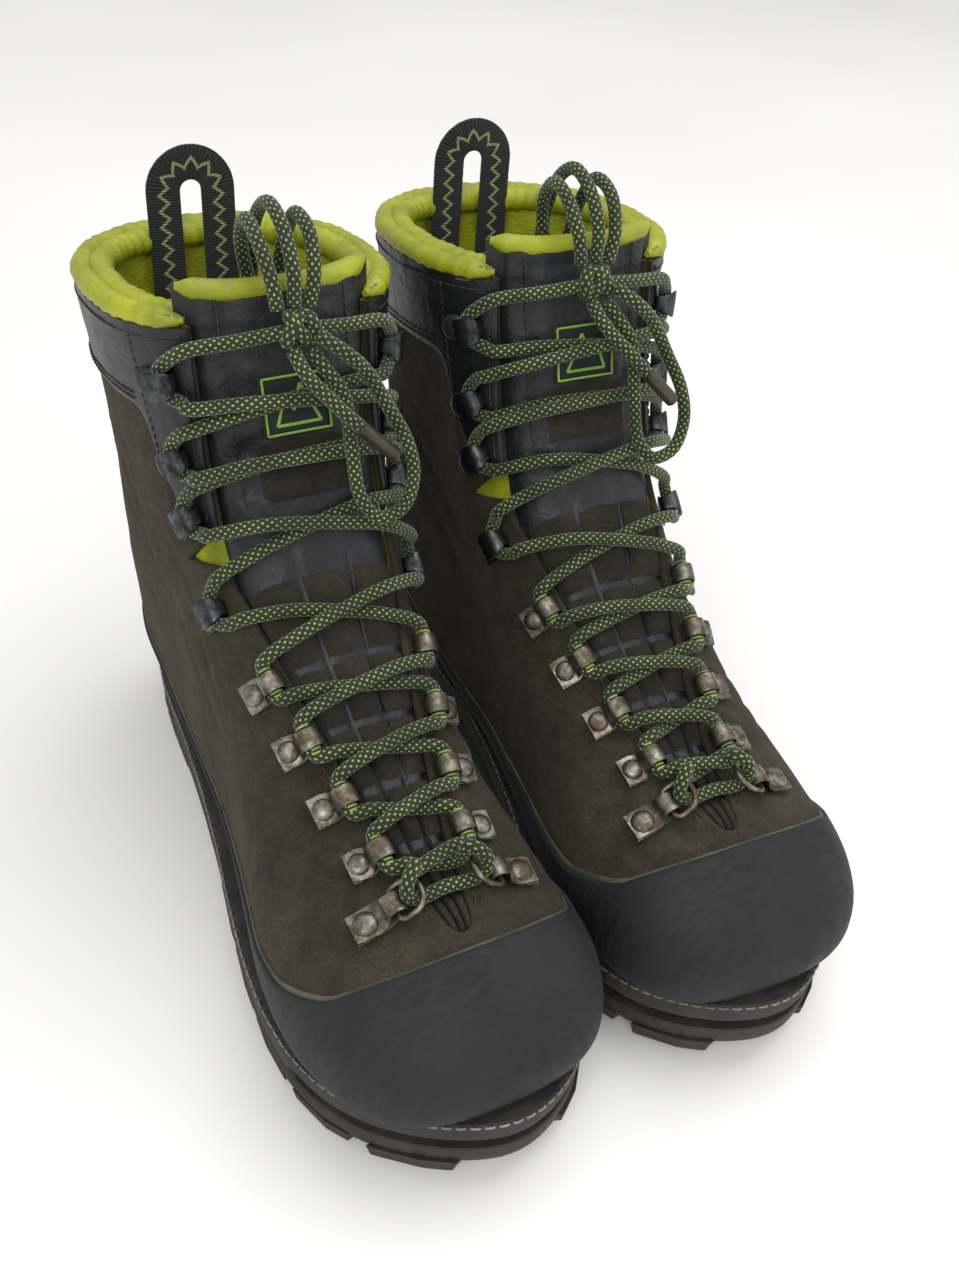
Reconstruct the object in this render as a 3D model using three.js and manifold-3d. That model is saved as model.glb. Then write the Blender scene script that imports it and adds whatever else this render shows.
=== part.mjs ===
// A pair of laced leather mountaineering boots, standing side by side.
// Millimetres, +Z up, toes toward -Y. The right boot is modelled in its own frame
// (heel at +Y, its outer side toward -X) and the left boot is its mirror image.
import * as THREE from 'three';
import { mergeVertices } from 'three/addons/utils/BufferGeometryUtils.js';
import Module from 'manifold-3d';

const wasm = await Module();
wasm.setup();

// Driving dimensions
const footLength = 312;          // heel to toe of the sole
const collarHeight = 224;        // floor to the front of the collar
const ballWidth = 109;           // sole width across the ball of the foot
const shaftWidth = 102;          // outside width at the collar
const outsoleThickness = 13;
const midsoleThickness = 13.7;
const lugDepth = 4.5;
const toeSpring = 14;            // how far the toe curls up from the floor
const springStart = 225;         // distance from the heel where the toe spring begins
const grooveDepth = 5;           // crampon groove round toe and heel
const suedeThickness = 2.2;
const liningThickness = 2.4;
const collarPadding = 6.5;
const randThickness = 1.8;
const boardThickness = 2;
const footbedThickness = 5;
const throatAtToe = 4;           // half width of the lacing gap at the D-rings
const throatAtAnkle = 31;        // half width of the gap from the ankle hooks up
const tongueThickness = 5.5;
const tongueRise = 10.5;         // tongue above the front of the collar
const laceDiameter = 4.8;
const stripThickness = 1.2;      // leather strip under the lace loops and hooks
const stripWidth = 16;
const rivetRadius = 4.1;
const ringWire = 2.2;            // section of the D-ring
const webbingWidth = 13;
const webbingThickness = 1.6;
const bootSpacing = 112;         // between the two boots' centre lines
const leftTurn = THREE.MathUtils.degToRad(-3);
const flexAngle = THREE.MathUtils.degToRad(8.5);    // open angle of the V notch at the ankle

// Clearances
const gap = 0.3;                 // between pieces that lie against each other
const laceGap = 0.5;             // between the lace and what it runs through
const stripLift = 0.68;          // between the upper and the strips on it
const tongueGap = 0.5;           // between the tongue and the sides of the throat


// Heights of the layers
const midsoleTop = outsoleThickness + gap + midsoleThickness;
const upperBottom = midsoleTop + gap;
const boardTop = upperBottom + boardThickness;
const footbedTop = boardTop + gap + footbedThickness;

const heelY = footLength / 2;
const lengthScale = footLength / 312;
const heightScale = collarHeight / 224;
const widthScale = ballWidth / 109;
const shaftScale = shaftWidth / 102;

// Ankle pivot of the cuff, from the heel and from the floor, and the lower's edge in front of it
const pivotAlong = 75 * lengthScale;
const pivotHeight = 106 * heightScale;
const edgeReach = 95;
const edgeHeight = 169 * heightScale;

// Sections of the upper from toe to collar. Each spans from a point on the instep line
// to a point on the sole or back line, with an outer and an inner half width:
// [instep along, instep height, back along, back height, outer, inner, middle, top, bottom]
const sections = [
  [304, 43, 305, 34, 12, 12, 0.5, 2.0, 2.2],
  [299, 55, 301, 27, 28, 27, 0.45, 2.1, 2.6],
  [289, 66, 293, 24, 40, 38, 0.4, 2.2, 3.4],
  [274, 75, 280, 24, 48, 45, 0.38, 2.2, 4.0],
  [258, 80, 263, 24, 53, 48, 0.36, 2.2, 4.5],
  [240, 85, 244, 24, 55, 49, 0.35, 2.2, 5.0],
  [220, 92, 222, 24, 54, 47, 0.35, 2.3, 5.0],
  [202, 101, 198, 24, 50, 43, 0.35, 2.5, 5.0],
  [187, 111, 172, 24, 46, 40, 0.36, 2.8, 4.6],
  [173, 121, 143, 24, 43, 38, 0.38, 3.0, 4.2],
  [161, 132, 112, 24, 42, 39, 0.4, 3.2, 4.0],
  [151, 144, 80, 24, 42, 40, 0.42, 3.2, 3.6],
  [143, 156, 48, 24, 42, 41, 0.44, 3.2, 3.2],
  [137, 167, 20, 27, 43, 42, 0.46, 3.2, 2.8],
  [132, 178, 4, 48, 44, 43, 0.48, 3.1, 2.5],
  [128, 188, 0, 80, 45, 44, 0.5, 2.9, 2.3],
  [125, 198, 2, 115, 46, 45, 0.5, 2.8, 2.2],
  [122, 208, 4, 150, 48, 47, 0.5, 2.7, 2.2],
  [119, 217, 4, 183, 50, 49, 0.5, 2.7, 2.2],
  [117, 224, 3, 212, 52, 51, 0.5, 2.7, 2.2],
].map(([da, dz, ba, bz, outer, inner, ...rest], index, all) => {
  const shaft = index / (all.length - 1);
  const width = widthScale + (shaftScale - widthScale) * shaft;
  return [
    da * lengthScale, dz * heightScale, ba * lengthScale,
    index < 14 ? bz : bz * heightScale, outer * width, inner * width, ...rest,
  ];
});
const lastSection = sections.length - 1;

// Outline of the sole: distance from the heel, outer and inner half widths
const soleOutline = [
  [0.5, 5, 5], [5, 17, 17], [18, 29, 29], [38, 36, 36], [62, 38.5, 37], [90, 40, 35],
  [120, 43, 34], [150, 47, 36.5], [178, 52, 41], [205, 56, 46.5], [228, 57.5, 50.5],
  [250, 56, 51], [268, 51, 48], [284, 42, 41.5], [297, 29.5, 31], [306, 17, 19],
  [311.5, 5, 6],
].map(([along, outer, inner]) => [along * lengthScale, outer * widthScale, inner * widthScale]);

// Rows of lace hardware. Foot rows are set by distance from the heel, shaft rows by height.
const dRingRow = rowWhere(0, 250 * lengthScale);
const tunnelRows = [231, 210, 190, 171].map((along) => rowWhere(0, along * lengthScale));
const ankleRow = rowWhere(1, 146 * heightScale);
const hookRows = [173, 189.5, 211].map((height) => rowWhere(1, height * heightScale));
const throatStart = rowWhere(0, 261 * lengthScale);
const throatFull = rowWhere(1, 150 * heightScale);

// Value of column `column` of the sections at `t`, smooth through every section
function sectionValue(t, column) {
  const index = Math.min(Math.max(Math.floor(t), 0), lastSection - 1);
  const u = t - index;
  const p1 = sections[index][column];
  const p2 = sections[index + 1][column];
  const p0 = index > 0 ? sections[index - 1][column] : 2 * p1 - p2;
  const p3 = index + 2 <= lastSection ? sections[index + 2][column] : 2 * p2 - p1;
  if (t > lastSection) return p2 + (p2 - p1) * (t - lastSection);
  const bend = 2 * p0 - 5 * p1 + 4 * p2 - p3;
  return p1 + 0.5 * u * (p2 - p0 + u * (bend + u * (3 * (p1 - p2) + p3 - p0)));
}

// Section position at which the instep line reaches `value` in `column`
function rowWhere(column, value) {
  const rising = sections[lastSection][column] > sections[4][column];
  let low = 0;
  let high = lastSection;
  for (let step = 0; step < 40; step += 1) {
    const middle = (low + high) / 2;
    const here = sectionValue(middle, column);
    const before = rising ? here < value : here > value;
    if (before) low = middle;
    else high = middle;
  }
  return (low + high) / 2;
}

// Height by which the toe curls up from the floor
function spring(along) {
  const start = springStart * lengthScale;
  const share = Math.max(along - start, 0) / (footLength - start);
  return toeSpring * share * share;
}

// Point of the upper's outer surface at section `t` and angle `turn` round it
function skinPoint(t, turn) {
  const v = [0, 1, 2, 3, 4, 5, 6, 7, 8].map((column) => sectionValue(t, column));
  const [da, dz, ba, bz, outer, inner, middle, top, bottom] = v;
  const cos = Math.cos(turn);
  const sin = Math.sin(turn);
  const power = 2 / (sin > 0 ? top : bottom);
  const across = Math.sign(cos) * Math.abs(cos) ** power * (cos > 0 ? outer : inner);
  const rise = Math.sign(sin) * Math.abs(sin) ** power * (sin > 0 ? 1 - middle : middle);
  const share = middle + rise;
  const along = ba + (da - ba) * share;
  return new THREE.Vector3(-across, heelY - along, bz + (dz - bz) * share + spring(along));
}

// The same point moved out along the surface normal by `grow`
function skinOffset(t, turn, grow) {
  const point = skinPoint(t, turn);
  return point.addScaledVector(skinNormal(t, turn), grow);
}

function skinNormal(t, turn) {
  const step = 0.02;
  const along = skinPoint(t + step, turn).sub(skinPoint(t - step, turn));
  const round = skinPoint(t, turn + step).sub(skinPoint(t, turn - step));
  return round.cross(along).normalize();
}

// Angle round section `t` that lies `across` from the instep line (outer side positive).
// Past the edge of the lacing gap the distance is measured over the surface.
function turnAt(t, across) {
  const side = Math.sign(across);
  const inGap = Math.min(Math.abs(across), throatHalf(t));
  const cos = (inGap / sectionValue(t, across > 0 ? 4 : 5)) ** (sectionValue(t, 7) / 2);
  let turn = Math.acos(cos);
  let left = Math.abs(across) - inGap;
  const turnStep = 0.01;
  const angle = (value) => (side > 0 ? value : Math.PI - value);
  while (left > 0) {
    const stride = skinPoint(t, angle(turn)).distanceTo(skinPoint(t, angle(turn - turnStep)));
    turn -= turnStep * Math.min(left / stride, 1);
    left -= stride;
  }
  return angle(turn);
}

// Point on the instep side, `across` from the instep line and `height` off the surface
function onUpper(t, across, height) {
  return skinOffset(t, turnAt(t, across), height);
}

// Half width of the lacing gap
function throatHalf(t) {
  const share = Math.min(Math.max((t - throatStart) / (throatFull - throatStart), 0), 1);
  return throatAtToe + (throatAtAnkle - throatAtToe) * share;
}

// Section positions at which the layers of the upper have their rings of points
const layerRings = [0, 1, 2.2, 3.6, 5, 6.4, 7.6, 8.8, 10, 11.2, 12.6, 14, 15.8, 17.4, 19];

// ---- closed meshes and solids

function closedMesh(points, triangles) {
  const geometry = new THREE.BufferGeometry().setFromPoints(points);
  const volume = triangles.reduce((sum, [a, b, c]) => {
    return sum + points[a].dot(new THREE.Vector3().crossVectors(points[b], points[c]));
  }, 0);
  const facing = volume < 0 ? triangles.map(([a, b, c]) => [a, c, b]) : triangles;
  geometry.setIndex(facing.flat());
  return geometry;
}

function toSolid(geometry) {
  const bare = geometry.clone();
  bare.deleteAttribute('normal');
  bare.deleteAttribute('uv');
  const merged = mergeVertices(bare, 1e-4);
  return new wasm.Manifold(new wasm.Mesh({
    numProp: 3,
    vertProperties: new Float32Array(merged.attributes.position.array),
    triVerts: new Uint32Array(merged.index.array),
  }));
}

function toGeometry(solid) {
  const mesh = solid.getMesh();
  const geometry = new THREE.BufferGeometry();
  geometry.setAttribute('position', new THREE.BufferAttribute(mesh.vertProperties, 3));
  geometry.setIndex(new THREE.BufferAttribute(mesh.triVerts, 1));
  return geometry;
}

function join(solids) {
  return solids.reduce((sum, solid) => sum.add(solid));
}

// Places a geometry by a matrix and keeps its faces outward when the matrix mirrors it
function placed(geometry, matrix) {
  const moved = geometry.clone().applyMatrix4(matrix);
  if (matrix.determinant() > 0) return moved;
  const flat = moved.index ? moved.toNonIndexed() : moved;
  const position = flat.attributes.position;
  for (let i = 0; i < position.count; i += 3) {
    const first = new THREE.Vector3().fromBufferAttribute(position, i);
    const second = new THREE.Vector3().fromBufferAttribute(position, i + 1);
    position.setXYZ(i, second.x, second.y, second.z);
    position.setXYZ(i + 1, first.x, first.y, first.z);
  }
  return flat;
}

// Solid inside the surface at offset `grow` (a length, or a function of the section
// position) with a ring of `around` points at each section position in `rings`
function loft(grow, rings = layerRings, around = 14) {
  const points = [];
  const triangles = [];
  const offset = typeof grow === 'function' ? grow : () => grow;
  for (const t of rings) {
    for (let j = 0; j < around; j += 1) {
      points.push(skinOffset(t, 2 * Math.PI * j / around, offset(t)));
    }
  }
  for (const end of [0, rings.length - 1]) {
    const centre = new THREE.Vector3();
    for (let j = 0; j < around; j += 1) centre.addScaledVector(points[end * around + j], 1 / around);
    points.push(centre);
  }
  for (let j = 0; j < around; j += 1) {
    const next = (j + 1) % around;
    for (let i = 0; i + 1 < rings.length; i += 1) {
      const a = i * around;
      triangles.push([a + j, a + next, a + around + j], [a + next, a + around + next, a + around + j]);
    }
    const last = (rings.length - 1) * around;
    triangles.push([points.length - 2, next, j], [points.length - 1, last + j, last + next]);
  }
  return toSolid(closedMesh(points, triangles));
}

// `count` equal steps from `from` to `to`
function spread(from, to, count) {
  return Array.from({ length: count + 1 }, (_, i) => from + (to - from) * i / count);
}

// Panel that follows the upper between heights `low` and `high` off its surface
function panel(from, to, inner, outer, low, high, columns = 4) {
  const points = [];
  const triangles = [];
  const across = columns + 1;
  const rings = [from, ...layerRings.filter((t) => t > from + 0.2 && t < to - 0.2), to];
  const rows = rings.length - 1;
  const layer = rings.length * across;
  for (const height of [low, high]) {
    for (const t of rings) {
      for (let j = 0; j <= columns; j += 1) {
        const place = inner(t) + (outer(t) - inner(t)) * j / columns;
        points.push(onUpper(t, place, height));
      }
    }
  }
  const quad = (a, b, c, d) => triangles.push([a, b, c], [a, c, d]);
  for (let i = 0; i < rows; i += 1) {
    for (let j = 0; j < columns; j += 1) {
      const a = i * across + j;
      quad(a, a + across, a + across + 1, a + 1);
      quad(layer + a, layer + a + 1, layer + a + across + 1, layer + a + across);
    }
    for (const [j, swap] of [[0, false], [columns, true]]) {
      const a = i * across + j;
      const b = a + across;
      if (swap) quad(a, b, b + layer, a + layer);
      else quad(b, a, a + layer, b + layer);
    }
  }
  for (let j = 0; j < columns; j += 1) {
    for (const [i, swap] of [[0, true], [rows, false]]) {
      const a = i * across + j;
      if (swap) quad(a, a + 1, a + 1 + layer, a + layer);
      else quad(a + 1, a, a + layer, a + 1 + layer);
    }
  }
  return toSolid(closedMesh(points, triangles));
}

// Prism across the whole boot from a side outline of [along, height] points
function sidePrism(outline, halfWidth = 90) {
  const shape = new THREE.Shape(outline.map(([along, z]) => new THREE.Vector2(heelY - along, z)));
  const geometry = new THREE.ExtrudeGeometry(shape, { depth: 2 * halfWidth, bevelEnabled: false });
  geometry.translate(0, 0, -halfWidth);
  const basis = new THREE.Matrix4().makeBasis(
    new THREE.Vector3(0, 1, 0), new THREE.Vector3(0, 0, 1), new THREE.Vector3(1, 0, 0));
  return toSolid(geometry.applyMatrix4(basis));
}

// Side line at one height above the sole, from behind the heel to past the toe
function levelLine(height) {
  const line = spread(springStart * lengthScale, footLength + 30, 7);
  return [-40, ...line].map((along) => [along, height + spring(along)]);
}

function slab(low, high) {
  return sidePrism([...levelLine(low), ...levelLine(high).reverse()]);
}

// Cutter for the lacing gap, `trim` narrower on each side
function throatCutter(from, to, trim, depth) {
  const rows = 16;
  const points = [];
  const triangles = [];
  for (let i = 0; i <= rows; i += 1) {
    const t = from + (to - from) * i / rows;
    const instep = skinPoint(t, Math.PI / 2);
    const away = instep.clone().sub(skinPoint(t, -Math.PI / 2)).normalize();
    const half = throatHalf(t) - trim;
    for (const [side, lift] of [[-1, -depth], [1, -depth], [1, 24], [-1, 24]]) {
      const corner = instep.clone().addScaledVector(away, lift);
      corner.x = side * half;
      points.push(corner);
    }
  }
  for (let i = 0; i < rows; i += 1) {
    for (let j = 0; j < 4; j += 1) {
      const a = 4 * i + j;
      const b = 4 * i + (j + 1) % 4;
      triangles.push([a, b, a + 4], [b, b + 4, a + 4]);
    }
  }
  const last = 4 * rows;
  triangles.push([0, 2, 1], [0, 3, 2], [last, last + 1, last + 2], [last, last + 2, last + 3]);
  return toSolid(closedMesh(points, triangles));
}

// Sole layer: the sole outline at several heights, each grown by grow(along)
function soleLayer(levels) {
  const points = [];
  const triangles = [];
  const half = soleOutline.length;
  const ring = 2 * half;
  for (const [height, grow] of levels) {
    for (let k = 0; k < ring; k += 1) {
      const [along, outer, inner] = soleOutline[k < half ? k : ring - 1 - k];
      const push = grow(along);
      const end = Math.cos(Math.PI * along / footLength) * Math.min(1, 12 / Math.min(outer, inner));
      const across = k < half ? -Math.max(outer + push, 1) : Math.max(inner + push, 1);
      const y = heelY - along + push * end * Math.abs(end);
      points.push(new THREE.Vector3(across, y, height + spring(along)));
    }
  }
  for (let level = 0; level + 1 < levels.length; level += 1) {
    for (let k = 0; k < ring; k += 1) {
      const a = level * ring + k;
      const b = level * ring + (k + 1) % ring;
      triangles.push([a, b, a + ring], [b, b + ring, a + ring]);
    }
  }
  const top = (levels.length - 1) * ring;
  for (let k = 0; k + 1 < half; k += 1) {
    const other = ring - 1 - k;
    triangles.push([k, other - 1, k + 1], [k, other, other - 1]);
    triangles.push([top + k, top + k + 1, top + other - 1], [top + k, top + other - 1, top + other]);
  }
  return toSolid(closedMesh(points, triangles));
}

// Local frame on the upper: x away from the lacing gap, y up the boot, z off the surface
function frameOnUpper(t, across) {
  const side = Math.sign(across);
  const origin = onUpper(t, across, 0);
  const off = skinNormal(t, turnAt(t, across));
  const out = onUpper(t, across + side * 0.5, 0).sub(onUpper(t, across - side * 0.5, 0)).normalize();
  const up = new THREE.Vector3().crossVectors(off, out).multiplyScalar(-side);
  return new THREE.Matrix4().makeBasis(out, up, off).setPosition(origin);
}

// Outline in the local x and z, pushed out along the local y from -length/2 to length/2
function profileBar(shape, length) {
  const geometry = new THREE.ExtrudeGeometry(shape, { depth: length, bevelEnabled: false });
  geometry.translate(0, 0, -length / 2);
  return geometry.rotateX(Math.PI / 2);
}

function outline(points) {
  return new THREE.Shape(points.map(([x, y]) => new THREE.Vector2(x, y)));
}

// ---- lace hardware

const stripTop = stripLift + stripThickness;
const laceHeight = stripTop + laceGap + laceDiameter / 2;
const seat = stripLift + 0.3;          // fittings start inside the strip that carries them

function rivet(frame, x, y) {
  const profile = [
    [0, seat], [rivetRadius, seat], [rivetRadius, 2.2], [0, 3.4],
  ];
  const geometry = new THREE.LatheGeometry(profile.map(([r, z]) => new THREE.Vector2(r, z)), 6);
  geometry.rotateX(Math.PI / 2).translate(x, y, 0);
  return toSolid(placed(geometry, frame));
}

const tunnelLength = 6.8;

// Arched loop that the lace runs through, along the edge of the throat
function tunnelLoop(frame) {
  const inside = laceDiameter / 2 + laceGap;
  const wall = 1.4;
  const top = laceHeight + inside;
  const arch = outline([
    [-inside - wall, seat], [inside + wall, seat], [inside + wall, top],
    [inside - 0.5, top + wall], [0.5 - inside, top + wall], [-inside - wall, top],
  ]);
  arch.holes.push(outline([
    [-inside, laceHeight - inside], [inside, laceHeight - inside], [inside, top], [-inside, top],
  ]));
  const geometry = new THREE.ExtrudeGeometry(arch, { depth: tunnelLength, bevelEnabled: false });
  geometry.translate(0, 0, -tunnelLength / 2).rotateX(Math.PI / 2);
  return toSolid(placed(geometry, frame));
}

// Open hook: the lace lies round the neck, under the cap, on the side away from the throat
const hookLength = 4;
const neckFace = -1.2;
const hookLaceX = neckFace + laceGap + laceDiameter / 2;

function openHook(frame) {
  const under = laceHeight + laceDiameter / 2 + laceGap;
  const shape = outline([
    [-5, seat], [5.5, seat], [5.5, stripTop], [neckFace, stripTop],
    [neckFace, under], [5.6, under], [5.6, under + 1.8], [-3.2, under + 1.8], [-5, under + 0.4],
  ]);
  return toSolid(placed(profileBar(shape, hookLength), frame));
}

// ---- laces

// Held lace: six-sided tube with a ring of corners at every point of its route
function heldLace(route) {
  const sides = 6;
  const points = [];
  const triangles = [];
  const side = new THREE.Vector3(0, 0, 1);
  route.forEach((point, i) => {
    const before = route[Math.max(i - 1, 0)];
    const after = route[Math.min(i + 1, route.length - 1)];
    const into = point.clone().sub(before).normalize();
    const out = after.clone().sub(point).normalize();
    const along = into.add(out).normalize();
    side.addScaledVector(along, -side.dot(along)).normalize();
    const other = new THREE.Vector3().crossVectors(along, side);
    for (let k = 0; k < sides; k += 1) {
      const angle = 2 * Math.PI * k / sides;
      points.push(point.clone().addScaledVector(side, Math.cos(angle) * laceDiameter / 2)
        .addScaledVector(other, Math.sin(angle) * laceDiameter / 2));
    }
  });
  for (let i = 0; i + 1 < route.length; i += 1) {
    for (let k = 0; k < sides; k += 1) {
      const a = i * sides + k;
      const b = i * sides + (k + 1) % sides;
      triangles.push([a, b, a + sides], [b, b + sides, a + sides]);
    }
  }
  const last = (route.length - 1) * sides;
  for (let k = 1; k + 1 < sides; k += 1) {
    triangles.push([0, k + 1, k], [last, last + k, last + k + 1]);
  }
  return toSolid(closedMesh(points, triangles));
}

// Free lace: a tube along a smooth curve through its points
function freeLace(points) {
  const curve = new THREE.CatmullRomCurve3(points, false, 'centripetal');
  const steps = Math.round(curve.getLength() / (2.5 * laceDiameter));
  const section = new THREE.Shape();
  section.absarc(0, 0, laceDiameter / 2, 0, 2 * Math.PI);
  const settings = { steps, extrudePath: curve, bevelEnabled: false, curveSegments: 4 };
  return toSolid(new THREE.ExtrudeGeometry(section, settings));
}

function tunnelAcross(t) {
  return throatHalf(t) + 4.6;
}

function hookAcross(t) {
  return throatHalf(t) + 8;
}

// Points of a lace round a hook, from below it to above it
function roundHook(t, side) {
  const ahead = hookLength / 2 + 1.6;
  return [[-4, -7.4], [hookLaceX, -ahead], [hookLaceX, ahead], [-4, 7.4]].map(([x, y]) => {
    return besideHook(t, side, x, y);
  });
}

function besideHook(t, side, x, y) {
  const frame = frameOnUpper(t, side * hookAcross(t));
  return new THREE.Vector3(x, y, laceHeight).applyMatrix4(frame);
}

// Points of a lace through a tunnel loop, from below it to above it
function throughTunnel(t, side) {
  const frame = frameOnUpper(t, side * tunnelAcross(t));
  const ahead = tunnelLength / 2 + laceDiameter / 2 + laceGap;
  return [-ahead, ahead].map((y) => new THREE.Vector3(0, y, laceHeight).applyMatrix4(frame));
}

// Points of a lace from the short bar between the D-rings, up through a ring and over its wire
function throughRing(side) {
  const frame = dRingFrame(side);
  const route = [[-9.6, -0.8, 2.9], [-5.9, 0, 7], [-7.5, 2, 11.5], [-12, 5.5, 12.5]];
  return route.map(([x, y, z]) => new THREE.Vector3(x, y, z).applyMatrix4(frame));
}

// Points of a strand between two rows, rising from `side` to the other side
const crossLow = laceDiameter / 2 + 0.4;
const crossHigh = crossLow + laceDiameter + laceGap;

function crossing(lower, upper, side, over) {
  const spacing = onUpper(lower, 0, 0).distanceTo(onUpper(upper, 0, 0));
  const slope = (0.5 - 7.4 / spacing) / 1.1;
  const heights = over
    ? [laceHeight + 2.6, crossHigh, crossHigh]
    : [laceHeight + 0.5, crossLow + 0.4, crossLow];
  const places = [1.02, 0.62, 0.35, -0.35, -0.62, -1.02];
  return places.map((place, index) => {
    const t = lower + (upper - lower) * (0.5 - slope * place);
    return onUpper(t, side * place * throatHalf(t), heights[Math.min(index, 5 - index)]);
  });
}

// ---- one boot, as a list of named solids in the right boot's frame

function buildBoot() {
  const openTop = [...layerRings, lastSection + 1.5];
  const skin = loft(0);
  const envelope = loft(gap);
  const clear = { lining: -suedeThickness - gap, inside: -suedeThickness - gap - liningThickness };
  const padInside = clear.lining - collarPadding;
  const throat = throatCutter(throatStart, lastSection + 1.5, 0, 38);
  const pivot = [pivotAlong, pivotHeight];
  const backEdge = [-20, pivotHeight + 6];
  const rise = Math.atan2(edgeHeight - pivotHeight, edgeReach);
  const sky = 2 * collarHeight;

  // Everything above an edge that runs from the back, over the pivot, to the front
  const above = (angle, lift) => {
    const front = [
      pivotAlong + edgeReach * Math.cos(rise + angle),
      pivotHeight + edgeReach * Math.sin(rise + angle),
    ];
    const edge = [backEdge, pivot, front].map(([along, height]) => [along, height + lift]);
    return sidePrism([
      [-60, edge[0][1]], ...edge, [footLength + 60, edge[2][1]], [footLength + 60, sky], [-60, sky],
    ]);
  };
  const aboveLower = above(0, 0);
  const cuffZone = above(flexAngle, 2 * gap);
  const ground = slab(-20, upperBottom);
  const solids = {};

  solids.outsole = outsole();
  const grooved = (along) => {
    const fromEnd = Math.min(along, footLength - along);
    return fromEnd < 62 ? 1 - grooveDepth : -0.6;
  };
  solids.midsole = soleLayer([
    [outsoleThickness + gap, grooved], [outsoleThickness + 5.5, grooved],
    [outsoleThickness + 6.8, () => 1.4], [midsoleTop - 1.5, () => 1.6], [midsoleTop, () => 0.6],
  ]);
  solids.rand = rand(ground);
  const upperInside = loft(-suedeThickness, openTop);
  solids.upper = skin.subtract(upperInside).subtract(throat).subtract(aboveLower).subtract(ground);
  solids.insole_board = loft(clear.lining).intersect(slab(upperBottom, boardTop));
  const liningGround = slab(-20, boardTop + gap);
  solids.lining = loft(clear.lining).subtract(loft(clear.inside, openTop, 10))
    .subtract(throat).subtract(aboveLower).subtract(liningGround);
  solids.footbed = loft(clear.inside - gap, layerRings, 10).intersect(slab(boardTop + gap, footbedTop));

  const cuffTop = lastSection - 0.2;
  const cuffRings = layerRings.filter((t) => t > 7 && t < cuffTop);
  solids.cuff = loft(0, [...cuffRings, cuffTop])
    .subtract(loft(-suedeThickness, [...cuffRings, cuffTop, lastSection + 1.5]))
    .subtract(throat).intersect(cuffZone);
  const rollRings = [0.05, 0.1, 0.3, 0.5, 0.6].map((shift) => cuffTop + shift);
  const rollGrow = [0, 1.3, 1.6, 0.4, -1.6];
  const padGrow = (t) => (t < rollRings[0] ? clear.lining - 0.05 : rollGrow[rollRings.indexOf(t)]);
  solids.cuff_padding = loft(padGrow, [...cuffRings, cuffTop, ...rollRings])
    .subtract(loft(padInside, [...cuffRings, lastSection + 1.5], 14))
    .intersect(cuffZone).subtract(throat);

  const tongueTop = lastSection + tongueRise / (sections[lastSection][1] - sections[lastSection - 1][1]);
  const tongueFold = [154, 167].map((height) => rowWhere(1, height * heightScale));
  const half = (t) => throatHalf(t) - tongueGap;
  const tonguePanel = (from, to) => panel(from, to, (t) => -half(t), half, -tongueThickness - 1, -1);
  solids.tongue_lower = tonguePanel(throatStart + 0.15, tongueFold[0]);
  solids.tongue_upper = tonguePanel(tongueFold[1], tongueTop);
  solids.pull_loop = pullLoop(solids.cuff_padding, padInside);

  for (const [name, side] of [['outer', 1], ['inner', -1]]) {
    solids[`d_ring_clip_${name}`] = dRingClip(side);
    solids[`d_ring_${name}`] = dRing(side);
    solids[`eyelet_strip_${name}`] = eyeletStrip(side).subtract(envelope);
    solids[`ankle_hook_${name}`] = ankleHook(side);
    solids[`cuff_hook_strip_${name}`] = cuffHookStrip(side);
  }
  Object.assign(solids, laces());
  return solids;
}

function outsole() {
  const flat = soleLayer([
    [0, () => -2.5], [3, () => -0.2],
    [outsoleThickness - 2, () => 0.4], [outsoleThickness, () => -0.6],
  ]);
  const slot = (along, width, depth) => {
    const top = depth + spring(along);
    const [start, end] = [along - width / 2, along + width / 2];
    return sidePrism([[start, -5], [end, -5], [end, top], [start, top]]);
  };
  const heelSlots = [24, 46].map((along) => slot(along * lengthScale, 5, lugDepth));
  const foreSlots = [152, 184, 216, 248, 280].map((along) => slot(along * lengthScale, 6, lugDepth));
  const arch = slot(104 * lengthScale, 44 * lengthScale, lugDepth + 2);
  return flat.subtract(join([...heelSlots, ...foreSlots, arch]));
}

// Rubber band over the lower edge of the suede, high over the toe
function rand(ground) {
  const below = sidePrism([
    [-20, -20], [-20, 60], [20, 58], [60, 50], [110, 43], [165, 42], [205, 46], [240, 53],
    [270, 70], [283, 110], [360, 110], [360, -20],
  ].map(([along, height]) => [along * lengthScale, height + spring(along * lengthScale)]));
  const rings = layerRings.filter((t) => t < 17);
  return loft(gap + randThickness, rings).subtract(loft(gap, rings)).intersect(below).subtract(ground);
}

// Webbing loop sewn against the padding inside the back of the collar
function pullLoop(padding, padInside) {
  const innerRadius = 4;
  const outerRadius = innerRadius + webbingWidth;
  const legBottom = -50;
  const shape = new THREE.Shape();
  shape.moveTo(outerRadius, legBottom);
  shape.absarc(0, 0, outerRadius, 0, Math.PI);
  shape.lineTo(-outerRadius, legBottom);
  shape.lineTo(-innerRadius, legBottom);
  shape.absarc(0, 0, innerRadius, Math.PI, 0, true);
  shape.lineTo(innerRadius, legBottom);
  const flat = { depth: webbingThickness, bevelEnabled: false, curveSegments: 6 };
  const geometry = new THREE.ExtrudeGeometry(shape, flat).rotateX(Math.PI / 2);
  const back = skinOffset(lastSection, -Math.PI / 2, padInside);
  geometry.translate(0, back.y, back.z + 20);
  while (toSolid(geometry).intersect(padding).volume() > 0) geometry.translate(0, -0.2, 0);
  return toSolid(geometry.translate(0, -gap, 0));
}

const ringAxisHeight = 3.8;
const ringTilt = THREE.MathUtils.degToRad(20);
const ringReach = 12.5;

function dRingFrame(side) {
  return frameOnUpper(dRingRow, side * (throatHalf(dRingRow) + ringReach));
}

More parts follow.
